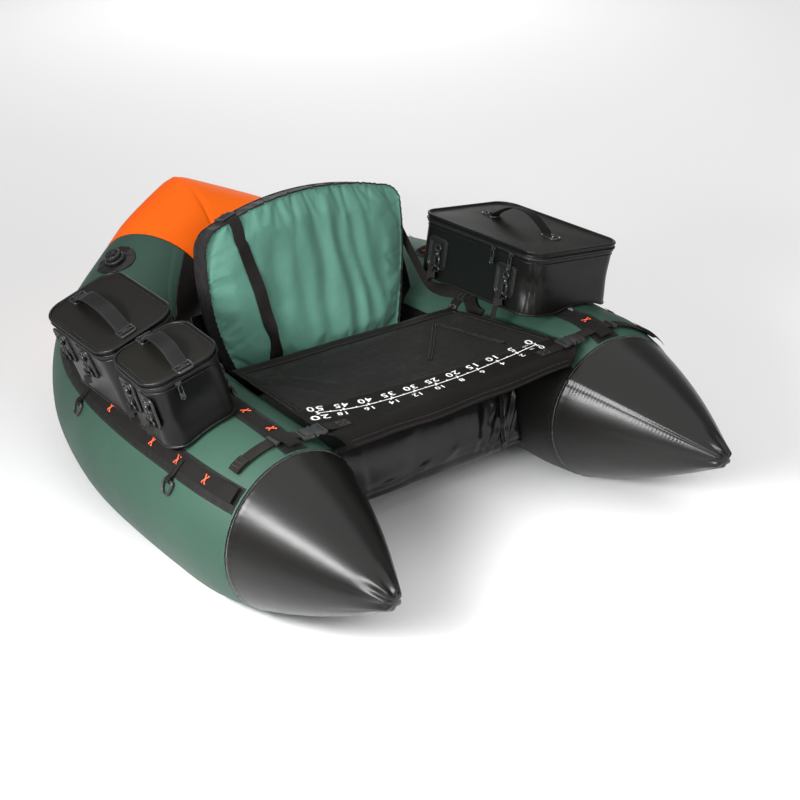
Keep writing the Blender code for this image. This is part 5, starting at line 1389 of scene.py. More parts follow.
def right_strap():
    s = s_at_y(-0.020)
    P, N = tube([s], [-33.0], 1, 0.0048)
    n = N[0, 0]
    bl = np.array((0, 1.0, 0))
    bw = np.cross(bl, n)
    bw /= np.linalg.norm(bw)
    bl = np.cross(n, bw)
    M = frame_matrix(P[0, 0], bw, bl, n)
    ob = ladder_lock("right_ladder_lock", M, "hull")
    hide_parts("right_strap_buckle")
    # the long run up to the side of the backrest
    start = place(M, (0, 0.0135, 0.0016))[0]
    track = [tuple(place(M, (0, -0.0085, 0.0030))[0]), tuple(start), (0.2640, 0.0130, 0.3085), (0.2385, 0.0290, 0.3270), (0.2325, 0.0600, 0.3600), (0.2350, 0.1180, 0.4140), (0.2376, 0.1500, 0.4380)]
    fr = [0.0, 0.0, 0.35, 0.85, 1.0, 1.0, 1.0]
    C = spline(track, 8)
    A = spline([tuple(bw * (1 - f) + np.array((0.0, -0.62, 0.78)) * f) for f in fr], 8)
    b = Bits()
    b.strap(C, A, 0.025, 0.0015, 7)
    w = b.make("right_strap_webbing", WEB, None)
    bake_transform(w)
    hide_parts("right_backrest_strap")
    # its tail, doubled back through the buckle and lying along the pontoon
    b = Bits()
    pts, across = [], []
    for f in np.linspace(0, 1, 22):
        deg = -33.0 - 9.0 * f - 3.0 * math.sin(f * 3)
        lift = 0.0062 + 0.0035 * math.sin(f * math.pi) * (1 - 0.3 * f) - 0.0045 * f
        q, nn = tube([s - 0.010 - 0.062 * f], [deg], 1, lift)
        pts.append(q[0, 0])
        across.append(np.cross(nn[0, 0], (0, 1.0, 0)) + nn[0, 0] * 0.25 * math.sin(f * 5))
    b.strap(pts, -np.array(across), 0.025, 0.0014, 7)
    # anchor strap from under the buckle down the inner side, with a box of stitches
    pts, across = [], []
    for f in np.linspace(0, 1, 16):
        q, nn = tube([s + 0.014 - 0.002 * f], [-31.0 - 26.0 * f], 1, 0.0022 - 0.0008 * f)
        pts.append(q[0, 0])
        across.append((0.06, 1.0, 0))
    b.strap(pts, across, 0.025, 0.0014, 7)
    b.make("right_strap_tail", WEB)
    b = Bits()
    q, nn = tube([s + 0.004, s + 0.022], [-44.0, -52.0], 1, 0.0032)
    for a, c in (((0, 0), (1, 1)), ((0, 1), (1, 0)), ((0, 0), (0, 1)), ((1, 0), (1, 1)), ((0, 0), (1, 0)), ((0, 1), (1, 1))):
        b.stitches([q[a], q[c]], [nn[a], nn[c]], 0.0030, 0.0023, 0.00038)
    b.make("right_strap_stitches", GREY_THREAD)


right_strap()

# ------------------------------------------------------------------ apron
APRON_Z = 0.3105
AR, AF = np.array([(-0.290, -0.045), (0.215, -0.070)]), np.array([(-0.290, -0.360), (0.300, -0.352)])


def apron_xy(u, v):
    u, v = np.asarray(u, float), np.asarray(v, float)
    r = AR[0] + (AR[1] - AR[0]) * u[..., None]
    f = AF[0] + (AF[1] - AF[0]) * u[..., None]
    return r + (f - r) * v[..., None]


CREASES = [
    ([(-0.286, -0.100), (-0.217, -0.1345), (-0.178, -0.185), (-0.151, -0.219)], 0.0075, 0.0026),
    ([(-0.286, -0.118), (-0.240, -0.150), (-0.205, -0.200), (-0.190, -0.240)], 0.0090, -0.0020),
    ([(0.140, -0.085), (0.085, -0.150), (0.010, -0.235)], 0.0100, 0.0018),
    ([(0.215, -0.085), (0.205, -0.160), (0.190, -0.240)], 0.0110, -0.0016),
    ([(-0.060, -0.050), (-0.090, -0.130), (-0.100, -0.240)], 0.0160, 0.0014),
    ([(-0.285, -0.300), (-0.240, -0.318), (-0.190, -0.332)], 0.0070, 0.0016),
]


def apron_lift(x, y, u, v):
    """Sag and creases of the apron, metres from its flat."""
    d = -0.0062 * np.sin(np.pi * np.clip(u, 0, 1)) ** 0.8 * np.clip((v - 0.35) / 0.5, 0, 1) - 0.0040 * np.sin(np.pi * u) * np.sin(np.pi * np.clip(v, 0, 1))
    for line, wide, deep in CREASES:
        line = np.array(line)
        best = np.full(x.shape, 9.0)
        t_at = np.zeros(x.shape)
        for k in range(len(line) - 1):
            a, b = line[k], line[k + 1]
            ab = b - a
            t = np.clip(((x - a[0]) * ab[0] + (y - a[1]) * ab[1]) / (ab @ ab), 0, 1)
            dist = np.hypot(x - a[0] - t * ab[0], y - a[1] - t * ab[1])
            t_at = np.where(dist < best, (k + t) / (len(line) - 1), t_at)
            best = np.minimum(best, dist)
        d = d + deep * np.exp(-(best / wide) ** 2) * np.sin(np.pi * np.clip(t_at, 0.02, 0.98)) ** 0.5
    P = np.stack([x, y, 0 * x], -1)
    d = d + 0.0016 * smooth_noise(P * (1.0, 1.8, 1), 9.0, 4.0) + 0.0005 * smooth_noise(P * (0.8, 2.2, 1), 34.0, 8.0)
    return d


def apron_at(u, v, up=0.0):
    """v past 1 goes down the front flap, metres of cloth over 0.042."""
    u, v = np.broadcast_arrays(np.asarray(u, float), np.asarray(v, float))
    vv = np.minimum(v, 1.0)
    xy = apron_xy(u, vv)
    x, y = xy[..., 0].copy(), xy[..., 1].copy()
    z = APRON_Z + apron_lift(x, y, u, vv)
    e = np.clip((v - 1.0) / 0.10, 0, 1)
    ang = e * 1.25
    y -= 0.0275 * np.sin(ang) + 0.0018 * np.sin(u * 21) * e
    z -= 0.0300 * (1 - np.cos(ang)) * 1.15 + 0.0012 * np.sin(u * 17 + 1) * e
    # round the front corners of the flap
    x += 0.020 * e * (1 - 2 * u)
    corner = np.clip((0.035 - np.minimum(u, 1 - u)) / 0.035, 0, 1) ** 2
    z += 0.012 * corner * e
    y += 0.006 * corner * e
    n = np.stack([0 * z, -np.sin(ang), np.cos(ang)], -1)
    return np.stack([x, y, z], -1) + n * np.asarray(up, float)[..., None] if np.ndim(up) else np.stack([x, y, z], -1) + n * up


def band_v(u):
    """The stitched line where the open mesh meets the ruler band."""
    return 0.655 + 0.150 * u - 0.020 * np.sin(np.pi * u)


def mesh_cloth():
    m = Mat("apron_open_mesh", (20, 19, 18), 0.66, spec=0.16, sheen=0.03, alpha=0.92)
    s = m.split(m.coord())
    w = m.math("MULTIPLY", m.wave(s[0], 0.0024), m.wave(s[1], 0.0024))
    m.tint((ramp(m, w, 0.1, 1.0), (44, 42, 40), 0.35), (ramp(m, m.noise(9.0, 3.0), 0.4, 0.8), (29, 28, 27), 0.5))
    m.vary_rough(m.noise(60.0, 2.0), 0.52, 0.72)
    m.bump((w, 0.00012), (m.noise(200.0, 2.0), 0.0001))
    return m.m


MESH = mesh_cloth()
BAND = coated("apron_band_cloth", (23, 21, 19), (17, 16, 14), 0.52, spread=0.08, weave=0.00003, period=0.0014, spec=0.10)


def apron():
    def region(name, u0, u1, v0, v1, nu, nv, mat, thick, up=0.0, edge=None):
        u = np.linspace(u0, u1, nu)[:, None] * np.ones((1, nv))
        t = np.linspace(0, 1, nv)[None] * np.ones((nu, 1))
        a = v0(u) if callable(v0) else v0
        b = v1(u) if callable(v1) else v1
        v = a + (b - a) * t
        P = apron_at(u, v, up)
        ob = skin(name, P, mat, -1, "apron", thick=thick, offset=0.0)
        return ob, P

    field, P = region("apron_mesh_field", 0.012, 0.988, 0.045, lambda u: band_v(u) + 0.012, 150, 80, MESH, 0.0)
    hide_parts("apron_panel")
    band, B = region("apron_ruler_band", 0.0, 1.0, band_v, 1.10, 170, 64, BAND, 0.0014, 0.0010)
    rear, _ = region("apron_rear_hem", 0.0, 1.0, 0.0, 0.080, 150, 9, BAND, 0.0014, 0.0009)
    left, _ = region("apron_left_hem", 0.0, 0.030, 0.06, lambda u: band_v(u) + 0.01, 5, 60, BAND, 0.0014, 0.0011)
    right, _ = region("apron_right_hem", 0.970, 1.0, 0.06, lambda u: band_v(u) + 0.01, 5, 60, BAND, 0.0014, 0.0011)
    L = lambda Q: float(np.linalg.norm(np.diff(Q, axis=0), axis=-1).sum())
    for ob, Q in ((field, P), (band, B)):
        w = L(Q[:, Q.shape[1] // 2])

    st = Bits()

    def row(points, up=0.0020, step=0.0042):
        u = np.array([p[0] for p in points])
        v = np.array([p[1] for p in points])
        C = apron_at(u, v, up)
        st.stitches(C, np.tile((0, 0, 1.0), (len(C), 1)), step, step * 0.66, 0.00036)

    uu = np.linspace(0.012, 0.988, 200)
    row([(u, band_v(u) + 0.010) for u in uu])
    row([(u, band_v(u) + 0.026) for u in uu])
    row([(u, 0.012) for u in uu])
    row([(u, 0.070) for u in uu])
    for a in (0.006, 0.024):
        row([(a, v) for v in np.linspace(0.07, band_v(0.0) - 0.01, 60)])
        row([(1 - a, v) for v in np.linspace(0.07, band_v(1.0) - 0.01, 60)])
    row([(u, 1.092) for u in np.linspace(0.04, 0.96, 200)], 0.0018)
    row([(u, 1.072) for u in np.linspace(0.04, 0.96, 200)], 0.0018)
    st.make("apron_stitches", thread("dark_thread", (74, 72, 69)), "apron")

    # stitched triangular reinforcement at the right rear of the mesh
    def uv_of(x, y):
        best = None
        for k in range(40):
            u = 0.5 if best is None else best[0]
            v = 0.5 if best is None else best[1]
            p = apron_xy(np.array(u), np.array(v))
            du = (apron_xy(np.array(u + 1e-4), np.array(v)) - p) / 1e-4
            dv = (apron_xy(np.array(u), np.array(v + 1e-4)) - p) / 1e-4
            s = np.linalg.solve(np.array([du, dv]).T, np.array([x, y]) - p)
            best = (u + s[0], v + s[1])
        return best

    apex, low, far = (0.146, -0.108), (0.0400, -0.2280), (0.200, -0.262)
    tri = [uv_of(*p) for p in (apex, low, far)]
    lines = Bits()
    for a, b in ((0, 1), (0, 2)):
        A, B2 = np.array(tri[a]), np.array(tri[b])
        t = np.linspace(0, 1, 60)[:, None]
        q = A + (B2 - A) * t
        C = apron_at(q[:, 0], q[:, 1], 0.0010)
        d = np.gradient(C, axis=0)
        acr = np.cross(d, (0, 0, 1.0))
        lines.strap(C, acr, 0.0085, 0.0009, 3)
    lines.make("apron_reinforcement", BAND, "apron")
    st = Bits()
    for a, b in ((0, 1), (0, 2)):
        A, B2 = np.array(tri[a]), np.array(tri[b])
        t = np.linspace(0.02, 0.98, 60)[:, None]
        q = A + (B2 - A) * t
        C = apron_at(q[:, 0], q[:, 1], 0.0018)
        d = np.gradient(C, axis=0)
        acr = np.cross(d, (0, 0, 1.0))
        acr /= np.linalg.norm(acr, axis=1)[:, None]
        for k in (-0.0030, 0.0030):
            st.stitches(C + acr * k, np.tile((0, 0, 1.0), (len(C), 1)), 0.0040, 0.0027, 0.00034)
    st.make("apron_reinforcement_stitches", thread("reinforcement_thread", (96, 92, 88)), "apron")

    # ------------------------------ ruler: a printed line with ticks, centimetres behind it, inches before it
    way = spline([(0.2720, -0.3030), (0.2415, -0.3048), (0.133, -0.3100), (0.028, -0.3125), (-0.080, -0.3105), (-0.180, -0.3010), (-0.2550, -0.2800), (-0.2830, -0.2705)], 30)
    arc = np.r_[0, np.cumsum(np.linalg.norm(np.diff(way, axis=0), axis=1))]
    start = arc[30]
    span = 0.500
    have = arc[-31] - start
    V, F = [], []

    def on(d, across):
        """A point d metres along the ruler from 0, and across metres towards the rear."""
        s = start + d * have / span
        p = np.array([np.interp(s, arc, way[:, 0]), np.interp(s, arc, way[:, 1])])
        q = np.array([np.interp(s + 0.002, arc, way[:, 0]), np.interp(s + 0.002, arc, way[:, 1])])
        t = (q - p) / np.linalg.norm(q - p)
        nrm = np.array([t[1], -t[0]]) * (1 if -t[0] > 0 else -1)
        return p + nrm * across

    b_v, b_f = [], []

    def lifted(xy, up=0.0021):
        out = []
        for x, y in xy:
            u, v = uv_of(x, y)
            out.append(apron_at(np.array(u), np.array(v), up))
        return np.array(out)

    def quad(pts):
        k = len(b_v)
        b_v.extend(lifted(pts))
        b_f.append((k, k + 1, k + 2, k + 3))

    steps = np.linspace(0, 0.5, 90)
    for a, c in zip(steps[:-1], steps[1:]):
        quad([on(a, -0.0010), on(c, -0.0010), on(c, 0.0010), on(a, 0.0010)])
    for k in range(0, 21):
        d = k * 0.025
        h = 0.0060 if k % 2 == 0 else 0.0034
        w = 0.0016 if k % 2 == 0 else 0.0012
        quad([on(d - w, -h * 0.35), on(d + w, -h * 0.35), on(d + w, h), on(d - w, h)])
    for k in range(0, 11):
        d = k * 0.0508
        quad([on(min(d, 0.4985) - 0.0011, -0.0042), on(min(d, 0.4985) + 0.0011, -0.0042), on(min(d, 0.4985) + 0.0011, 0.0), on(min(d, 0.4985) - 0.0011, 0.0)])
    for d in (0.0, 0.5):
        for a in (-0.0056, 0.0042):
            quad([on(d - 0.0036, a), on(d + 0.0036, a), on(d + 0.0036, a + 0.0016), on(d - 0.0036, a + 0.0016)])

    def text(word, d, across, size):
        cu = bpy.data.curves.new("t", "FONT")
        cu.body = word
        cu.size = size
        cu.align_x = "CENTER"
        cu.align_y = "CENTER"
        cu.space_character = 1.14
        cu.offset = size * 0.012
        cu.resolution_u = 3
        o = bpy.data.objects.new("t", cu)
        bpy.context.scene.collection.objects.link(o)
        dg = bpy.context.evaluated_depsgraph_get()
        me = bpy.data.meshes.new_from_object(o.evaluated_get(dg))
        bm = bmesh.new()
        bm.from_mesh(me)
        bmesh.ops.triangulate(bm, faces=bm.faces)
        bmesh.ops.remove_doubles(bm, verts=bm.verts, dist=1e-6)
        bm.verts.ensure_lookup_table()
        k = len(b_v)
        pts = []
        for v in bm.verts:
            # read from the seat: its right is towards the far end, its up is away from the sitter
            pts.append(on(d + v.co.x * 1.30, across - v.co.y))
        if pts:
            b_v.extend(lifted(pts))
            for f in bm.faces:
                b_f.append(tuple(k + q.index for q in f.verts))
        bm.free()
        bpy.data.objects.remove(o)
        bpy.data.meshes.remove(me)
        bpy.data.curves.remove(cu)

    for k in range(0, 11):
        text(str(5 * k), 0.05 * k + (0.004 if k == 0 else 0), 0.0172, 0.0240 if k in (0, 10) else 0.0212)
    for k in range(0, 11):
        text(str(2 * k), 0.0508 * k + (-0.0005 if k < 10 else -0.008), -0.0180 if k == 10 else -0.0140, {0: 0.0180, 10: 0.0265}.get(k, 0.0160))
    text("cm", 0.0205, 0.0080, 0.0085)
    text("in", 0.0180, -0.0078, 0.0085)
    ob = mesh_object("ruler_print", np.array(b_v), b_f, WHITE, smooth=False, body="apron")
    bm = bmesh.new()
    bm.from_mesh(ob.data)
    bmesh.ops.recalc_face_normals(bm, faces=bm.faces)
    up = sum(f.normal.z for f in bm.faces)
    for f in bm.faces:
        if f.normal.z < 0:
            f.normal_flip()
    bm.to_mesh(ob.data)
    bm.free()
    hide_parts("ruler_strip")

    # ------------------------------ tabs and side-release buckles
    for hand, x0, x1, sg in (("left", -0.2830, -0.2300, -1), ("right", 0.2140, 0.2690, 1)):
        b = Bits()
        xs = np.linspace(x0, x1, 14)
        C = []
        for x in xs:
            u, v = uv_of(x, -0.343)
            p = apron_at(np.array(u), np.array(v), 0.0028)
            e = max(0.0, (abs(x) - 0.262) / 0.02)
            p[2] = p[2] * (1 - min(e, 1)) + 0.3166 * min(e, 1) if e > 0 else p[2]
            C.append(p)
        b.strap(C, np.tile((0, 1.0, 0), (len(C), 1)), 0.0245, 0.0016, 7)
        t = b.make("apron_%s_tab_webbing" % hand, WEB_FINE, "apron")
        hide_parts("apron_%s_tab" % hand)
        b = Bits()
        inner = x1 - 0.004 if sg < 0 else x0 + 0.004
        mid = inner + 0.020 * (-1 if sg < 0 else 1)
        cs = [(inner, -0.334), (mid, -0.334), (mid, -0.352), (inner, -0.352)]
        pts = []
        for x, y in cs:
            u, v = uv_of(x, y)
            pts.append(apron_at(np.array(u), np.array(v), 0.0042))
        for a, c in ((0, 1), (1, 2), (2, 3), (3, 0), (0, 2), (1, 3)):
            b.stitches([pts[a], pts[c]], [(0, 0, 1.0)] * 2, 0.0030, 0.0022, 0.0004)
        b.make("apron_%s_tab_stitches" % hand, thread("tab_thread_" + hand, (64, 62, 60)), "apron")


apron()


def buckles():
    y, z = -0.343, 0.3169

    def at(x, dy=0.0, dz=0.0):
        return np.array(Matrix.Translation((x, y + dy, z + dz)))

    for hand, sg, px, sx, body in (("left", -1, (-0.3060, -0.2870), (-0.3368, -0.3063), "hull"), ("right", 1, (0.2700, 0.2915), (0.2920, 0.3220), "apron")):
        inner, outer = (px[1], px[0]) if sg < 0 else (px[0], px[1])
        b = Bits()
        # plug: strap bar, root, and the shoulders of its two prongs
        b.box(at(inner + sg * 0.0022), (0.0044, 0.0340, 0.0058), 0.0016)
        for q in (-1, 1):
            b.box(at(inner + sg * 0.0078, q * 0.0150), (0.0120, 0.0042, 0.0056), 0.0014)
        b.box(at((inner + outer) / 2 + sg * 0.0035, 0, 0), (0.0120, 0.0300, 0.0050), 0.0014)
        b.box(at(outer - sg * 0.0035, 0, 0.0004), (0.0060, 0.0200, 0.0058), 0.0014)
        p = b.make("%s_buckle_plug" % hand, PLASTIC, body, angle=40)
        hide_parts("%s_apron_plug" % hand)
        b = Bits()
        near, far = (sx[1], sx[0]) if sg < 0 else (sx[0], sx[1])
        mid = (near + far) / 2
        b.box(at(mid - sg * 0.0030, 0, 0), (0.0220, 0.0262, 0.0084), 0.0022)
        b.box(at(near + sg * 0.0028, 0, 0), (0.0054, 0.0340, 0.0082), 0.0020)
        for q in (-1, 1):
            b.box(at(mid - sg * 0.0012, q * 0.0148, 0), (0.0105, 0.0050, 0.0052), 0.0016)
            b.box(at(far - sg * 0.0055, q * 0.0148, 0), (0.0100, 0.0044, 0.0060), 0.0014)
        b.box(at(far - sg * 0.0020, 0, 0), (0.0040, 0.0335, 0.0060), 0.0014)
        b.box(at(mid - sg * 0.0020, 0, 0.0040), (0.0130, 0.0150, 0.0018), 0.0007)
        s = b.make("%s_buckle_socket" % hand, PLASTIC, "hull", angle=40)
        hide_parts("%s_apron_socket" % hand)


buckles()


def apron_straps():
    s = s_at_y(-0.343)
    for side, hand, x0, d0, d1 in ((-1, "left", -0.3350, -13.5, 34.0), (1, "right", 0.3200, -14.0, 44.0)):
        C, A = [], []
        n0 = tube([s], [d0], side, 0.0046)[0][0, 0]
        first = np.array((x0, n0[1], 0.3169))
        pts = [first + np.array((-side * 0.006, 0, -0.0002)), first, first + (n0 - first) * 0.55 + (0, 0, 0.0006)]
        degs = np.linspace(d0, d1, 22)
        g = rnd(3 + side)
        for k, d in enumerate(degs):
            f = k / 21
            lift = 0.0046 - 0.0010 * f + 0.0012 * max(0, math.sin(f * 9)) * (1 - f)
            drift = 0.004 * f * f if side < 0 else -0.010 * f * f
            pts.append(tube([s + drift], [d], side, lift)[0][0, 0])
        C = spline(pts, 3)
        A = np.tile((0.0, 1.0, 0.0), (len(C), 1)).astype(float)
        A[:, 0] += 0.10 * np.linspace(0, 1, len(C)) * side
        b = Bits()
        b.strap(C, A, 0.0250, 0.0016, 7)
        # the tail's end, folded over and sewn
        e = len(C)
        k0 = int(e * 0.80)
        nn = np.array([tube([s], [np.interp(q, [k0, e - 1], [np.interp(0.80, [0, 1], [d0, d1]), d1])], side)[1][0, 0] for q in range(k0, e)])
        b.strap(C[k0:] + nn * 0.0019, A[k0:], 0.0246, 0.0017, 7)
        b.strap(C[k0:e - 2] + nn[:e - 2 - k0] * 0.0036, A[k0:e - 2], 0.0240, 0.0015, 7)
        w = b.make(hand + "_apron_strap_webbing", WEB, "hull")
        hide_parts(hand + "_apron_strap")
        st = Bits()
        for q in (0.1, 0.5, 0.9):
            k = int(k0 + (e - 3 - k0) * q)
            m = nn[min(k - k0, len(nn) - 1)]
            a = A[k] / np.linalg.norm(A[k])
            c = C[k] + m * 0.0048
            st.stitches([c - a * 0.0095, c + a * 0.0095], [m, m], 0.0030, 0.0022, 0.0004)
        st.make(hand + "_apron_strap_stitches", BLACK_THREAD)
        # a sliding keeper loop on the strap
        k = int(e * 0.42)
        t = C[k + 1] - C[k - 1]
        t /= np.linalg.norm(t)
        a = A[k] / np.linalg.norm(A[k])
        m = np.cross(t, a)
        if m[2] < 0:
            m = -m
        M = frame_matrix(C[k] + m * 0.0010, a, t, np.cross(a, t))
        kb = Bits()
        for q in (-1, 1):
            kb.box(M @ np.array(Matrix.Translation((q * 0.0142, 0, 0))), (0.0026, 0.0080, 0.0052), 0.0009)
        for q in (-1, 1):
            kb.box(M @ np.array(Matrix.Translation((0, 0, q * 0.0022))), (0.0290, 0.0070, 0.0013), 0.0005)
        kb.make(hand + "_strap_keeper", PLASTIC)


apron_straps()


# ------------------------------------------------------------------ tackle bags
def outline(w, l, r, n=232):
    """A rounded rectangle in the plan: points, outward normals, and the distance along it."""
    a, b = w / 2 - r, l / 2 - r
    q = math.pi * r / 2
    L = np.array([2 * b, q, 2 * a, q, 2 * b, q, 2 * a, q])
    cum = np.r_[0, np.cumsum(L)]
    s = np.linspace(0, cum[-1], n, endpoint=False)
    P, N = np.empty((n, 2)), np.empty((n, 2))
    corners = [(a, b, 0), (-a, b, 90), (-a, -b, 180), (a, -b, 270)]
    for i, v in enumerate(s):
        k = int(np.searchsorted(cum, v, side="right") - 1)
        t = v - cum[k]
        if k % 2:
            cx, cy, a0 = corners[k // 2]
            th = math.radians(a0) + t / r
            N[i] = (math.cos(th), math.sin(th))
            P[i] = (cx + r * N[i, 0], cy + r * N[i, 1])
        elif k == 0:
            P[i], N[i] = (w / 2, -b + t), (1, 0)
        elif k == 2:
            P[i], N[i] = (a - t, l / 2), (0, 1)
        elif k == 4:
            P[i], N[i] = (-w / 2, b - t), (-1, 0)
        else:
            P[i], N[i] = (-a + t, -l / 2), (0, -1)
    return P, N, s


def hull_gap(W, side):
    """How far each point is outside the pontoon of that side (negative inside)."""
    Q = np.asarray(W, float) * (side, 1, 1)
    line = LINE[(LINE[:, 1] > -0.40) & (LINE[:, 1] < 0.33)][::3]
    d = np.linalg.norm(Q[:, None, :] - line[None, :, :3], axis=2) - line[None, :, 3] * R0
    k = d.argmin(1)
    if side < 0:
        return d.min(1)
    deg = np.degrees(np.arctan2(Q[:, 0] - line[k, 0], Q[:, 2] - line[k, 2]))
    return d.min(1) + 0.0100 * np.exp(-((deg - 3.0) / 34.0) ** 2)


def rest_z(B, side, x, y, lift, low, high=0.30):
    """Height in the bag's frame at which a point comes to rest `lift` above the pontoon, or `low`."""
    x, y = np.broadcast_arrays(np.asarray(x, float), np.asarray(y, float))
    shape = x.shape
    x, y = x.ravel(), y.ravel()
    lo, hi = np.full(x.shape, low), np.full(x.shape, high)
    free = hull_gap(place(B, np.stack([x, y, lo], 1)), side) > lift
    for _ in range(20):
        mid = (lo + hi) / 2
        out = hull_gap(place(B, np.stack([x, y, mid], 1)), side) > lift
        hi = np.where(out, mid, hi)
        lo = np.where(out, lo, mid)
    return np.where(free, low, hi).reshape(shape)


def rings_mesh(rings):
    """A closed mesh from rings of points, its first and last drawn together to a point."""
    rings = [np.asarray(r, float) for r in rings]
    n = len(rings[0])
    V = np.concatenate(rings + [rings[0].mean(0)[None], rings[-1].mean(0)[None]])
    F = []
    for i in range(len(rings) - 1):
        for k in range(n):
            l = (k + 1) % n
            F.append((i * n + k, i * n + l, (i + 1) * n + l, (i + 1) * n + k))
    c0, c1 = len(rings) * n, len(rings) * n + 1
    F += [(c0, (k + 1) % n, k) for k in range(n)]
    F += [(c1, (len(rings) - 1) * n + k, (len(rings) - 1) * n + (k + 1) % n) for k in range(n)]
    return V, F


def pad(bits, M, size, r, rows, n=48):
    """A small moulded pad: an outline stepped inward and up by rows of (inset, height)."""
    P, N, _ = outline(size[0], size[1], r, n)
    rings = [np.column_stack([P - N * min(i, r * 0.95) if i < r else P * 0.5, np.full(n, z)]) for i, z in rows]
    V, F = rings_mesh(rings)
    bits.add(place(M, V), F, [(p[0], p[1]) for p in V])


def wall_dent(name, w, l, P, N, s, F):
    """How far the bag's wall stands out (metres) at each point round it and each level from the rim down."""
    side_x, side_y = np.abs(N[:, 0]) ** 6, np.abs(N[:, 1]) ** 6
    mid_y = np.clip(1 - (2 * np.abs(P[:, 1]) / (l - 0.05)) ** 2, 0, 1)
    mid_x = np.clip(1 - (2 * np.abs(P[:, 0]) / (w - 0.05)) ** 2, 0, 1)
    arch = np.sin(np.pi * np.clip(F, 0, 1)) ** 0.9
    d = np.zeros((len(F), len(s)))
    deep = {"right_bag": 0.0022, "left_front_bag": 0.0030, "left_rear_bag": 0.0026}[name]
    d -= deep * arch[:, None] * (side_x * mid_y + side_y * mid_x)[None]
    total = s[-1] + s[1] - s[0]

    def near(x, y, reach):
        k = int(np.argmin(np.hypot(P[:, 0] - x, P[:, 1] - y)))
        t = (s - s[k] + total / 2) % total - total / 2
        return t / reach, t

    f = F[:, None]
    if name == "right_bag":
        # the near corner has buckled: an hourglass of upright folds, nipped a little below its middle
        q, t = near(-w / 2 + 0.012, -l / 2 + 0.012, 0.026)
        nip = np.exp(-((f - 0.52) / 0.27) ** 2)
        width = 0.45 + 0.55 * np.abs(f - 0.52) / 0.48
        d -= 0.0105 * nip * np.exp(-(q / (0.75 + 0.5 * width)) ** 2)
        fold = np.cos(2 * np.pi * t[None] / (0.0120 * (0.45 + 0.85 * np.abs(f - 0.52) / 0.5)))
        d += 0.0021 * fold * np.exp(-(q[None] / (0.85 * width)) ** 2) * np.clip(f / 0.06, 0, 1) * np.clip((1 - f) / 0.05, 0, 1)
        q, t = near(w / 2 - 0.012, -l / 2 + 0.012, 0.030)
        d -= 0.0030 * np.exp(-((f - 0.5) / 0.3) ** 2) * np.exp(-q * q)
        q, t = near(0.02, -l / 2, 0.05)
        d += 0.0018 * np.exp(-((f - 0.30) / 0.2) ** 2) * np.exp(-q * q)
    elif name == "left_front_bag":
        q, t = near(0.0, -l / 2, w * 0.36)
        d -= 0.0052 * np.exp(-((f - 0.42) / 0.30) ** 2) * np.exp(-q ** 4)
        d += 0.0030 * np.exp(-((f - 0.93) / 0.10) ** 2) * np.exp(-q * q)
        q, t = near(w / 2 - 0.012, -l / 2 + 0.012, 0.020)
        d += 0.0020 * np.exp(-((f - 0.5) / 0.4) ** 2) * np.exp(-q * q)
        q, t = near(-w / 2 + 0.012, -l / 2 + 0.012, 0.022)
        d -= 0.0030 * np.exp(-((f - 0.70) / 0.2) ** 2) * np.exp(-q * q)
    else:
        q, t = near(-w / 2 + 0.012, -l / 2 + 0.012, 0.030)
        d -= 0.0036 * np.exp(-((f - 0.55) / 0.3) ** 2) * np.exp(-q * q)
        q, t = near(0.0, -l / 2, 0.05)
        d -= 0.0022 * np.exp(-((f - 0.4) / 0.3) ** 2) * np.exp(-q * q)
    return d


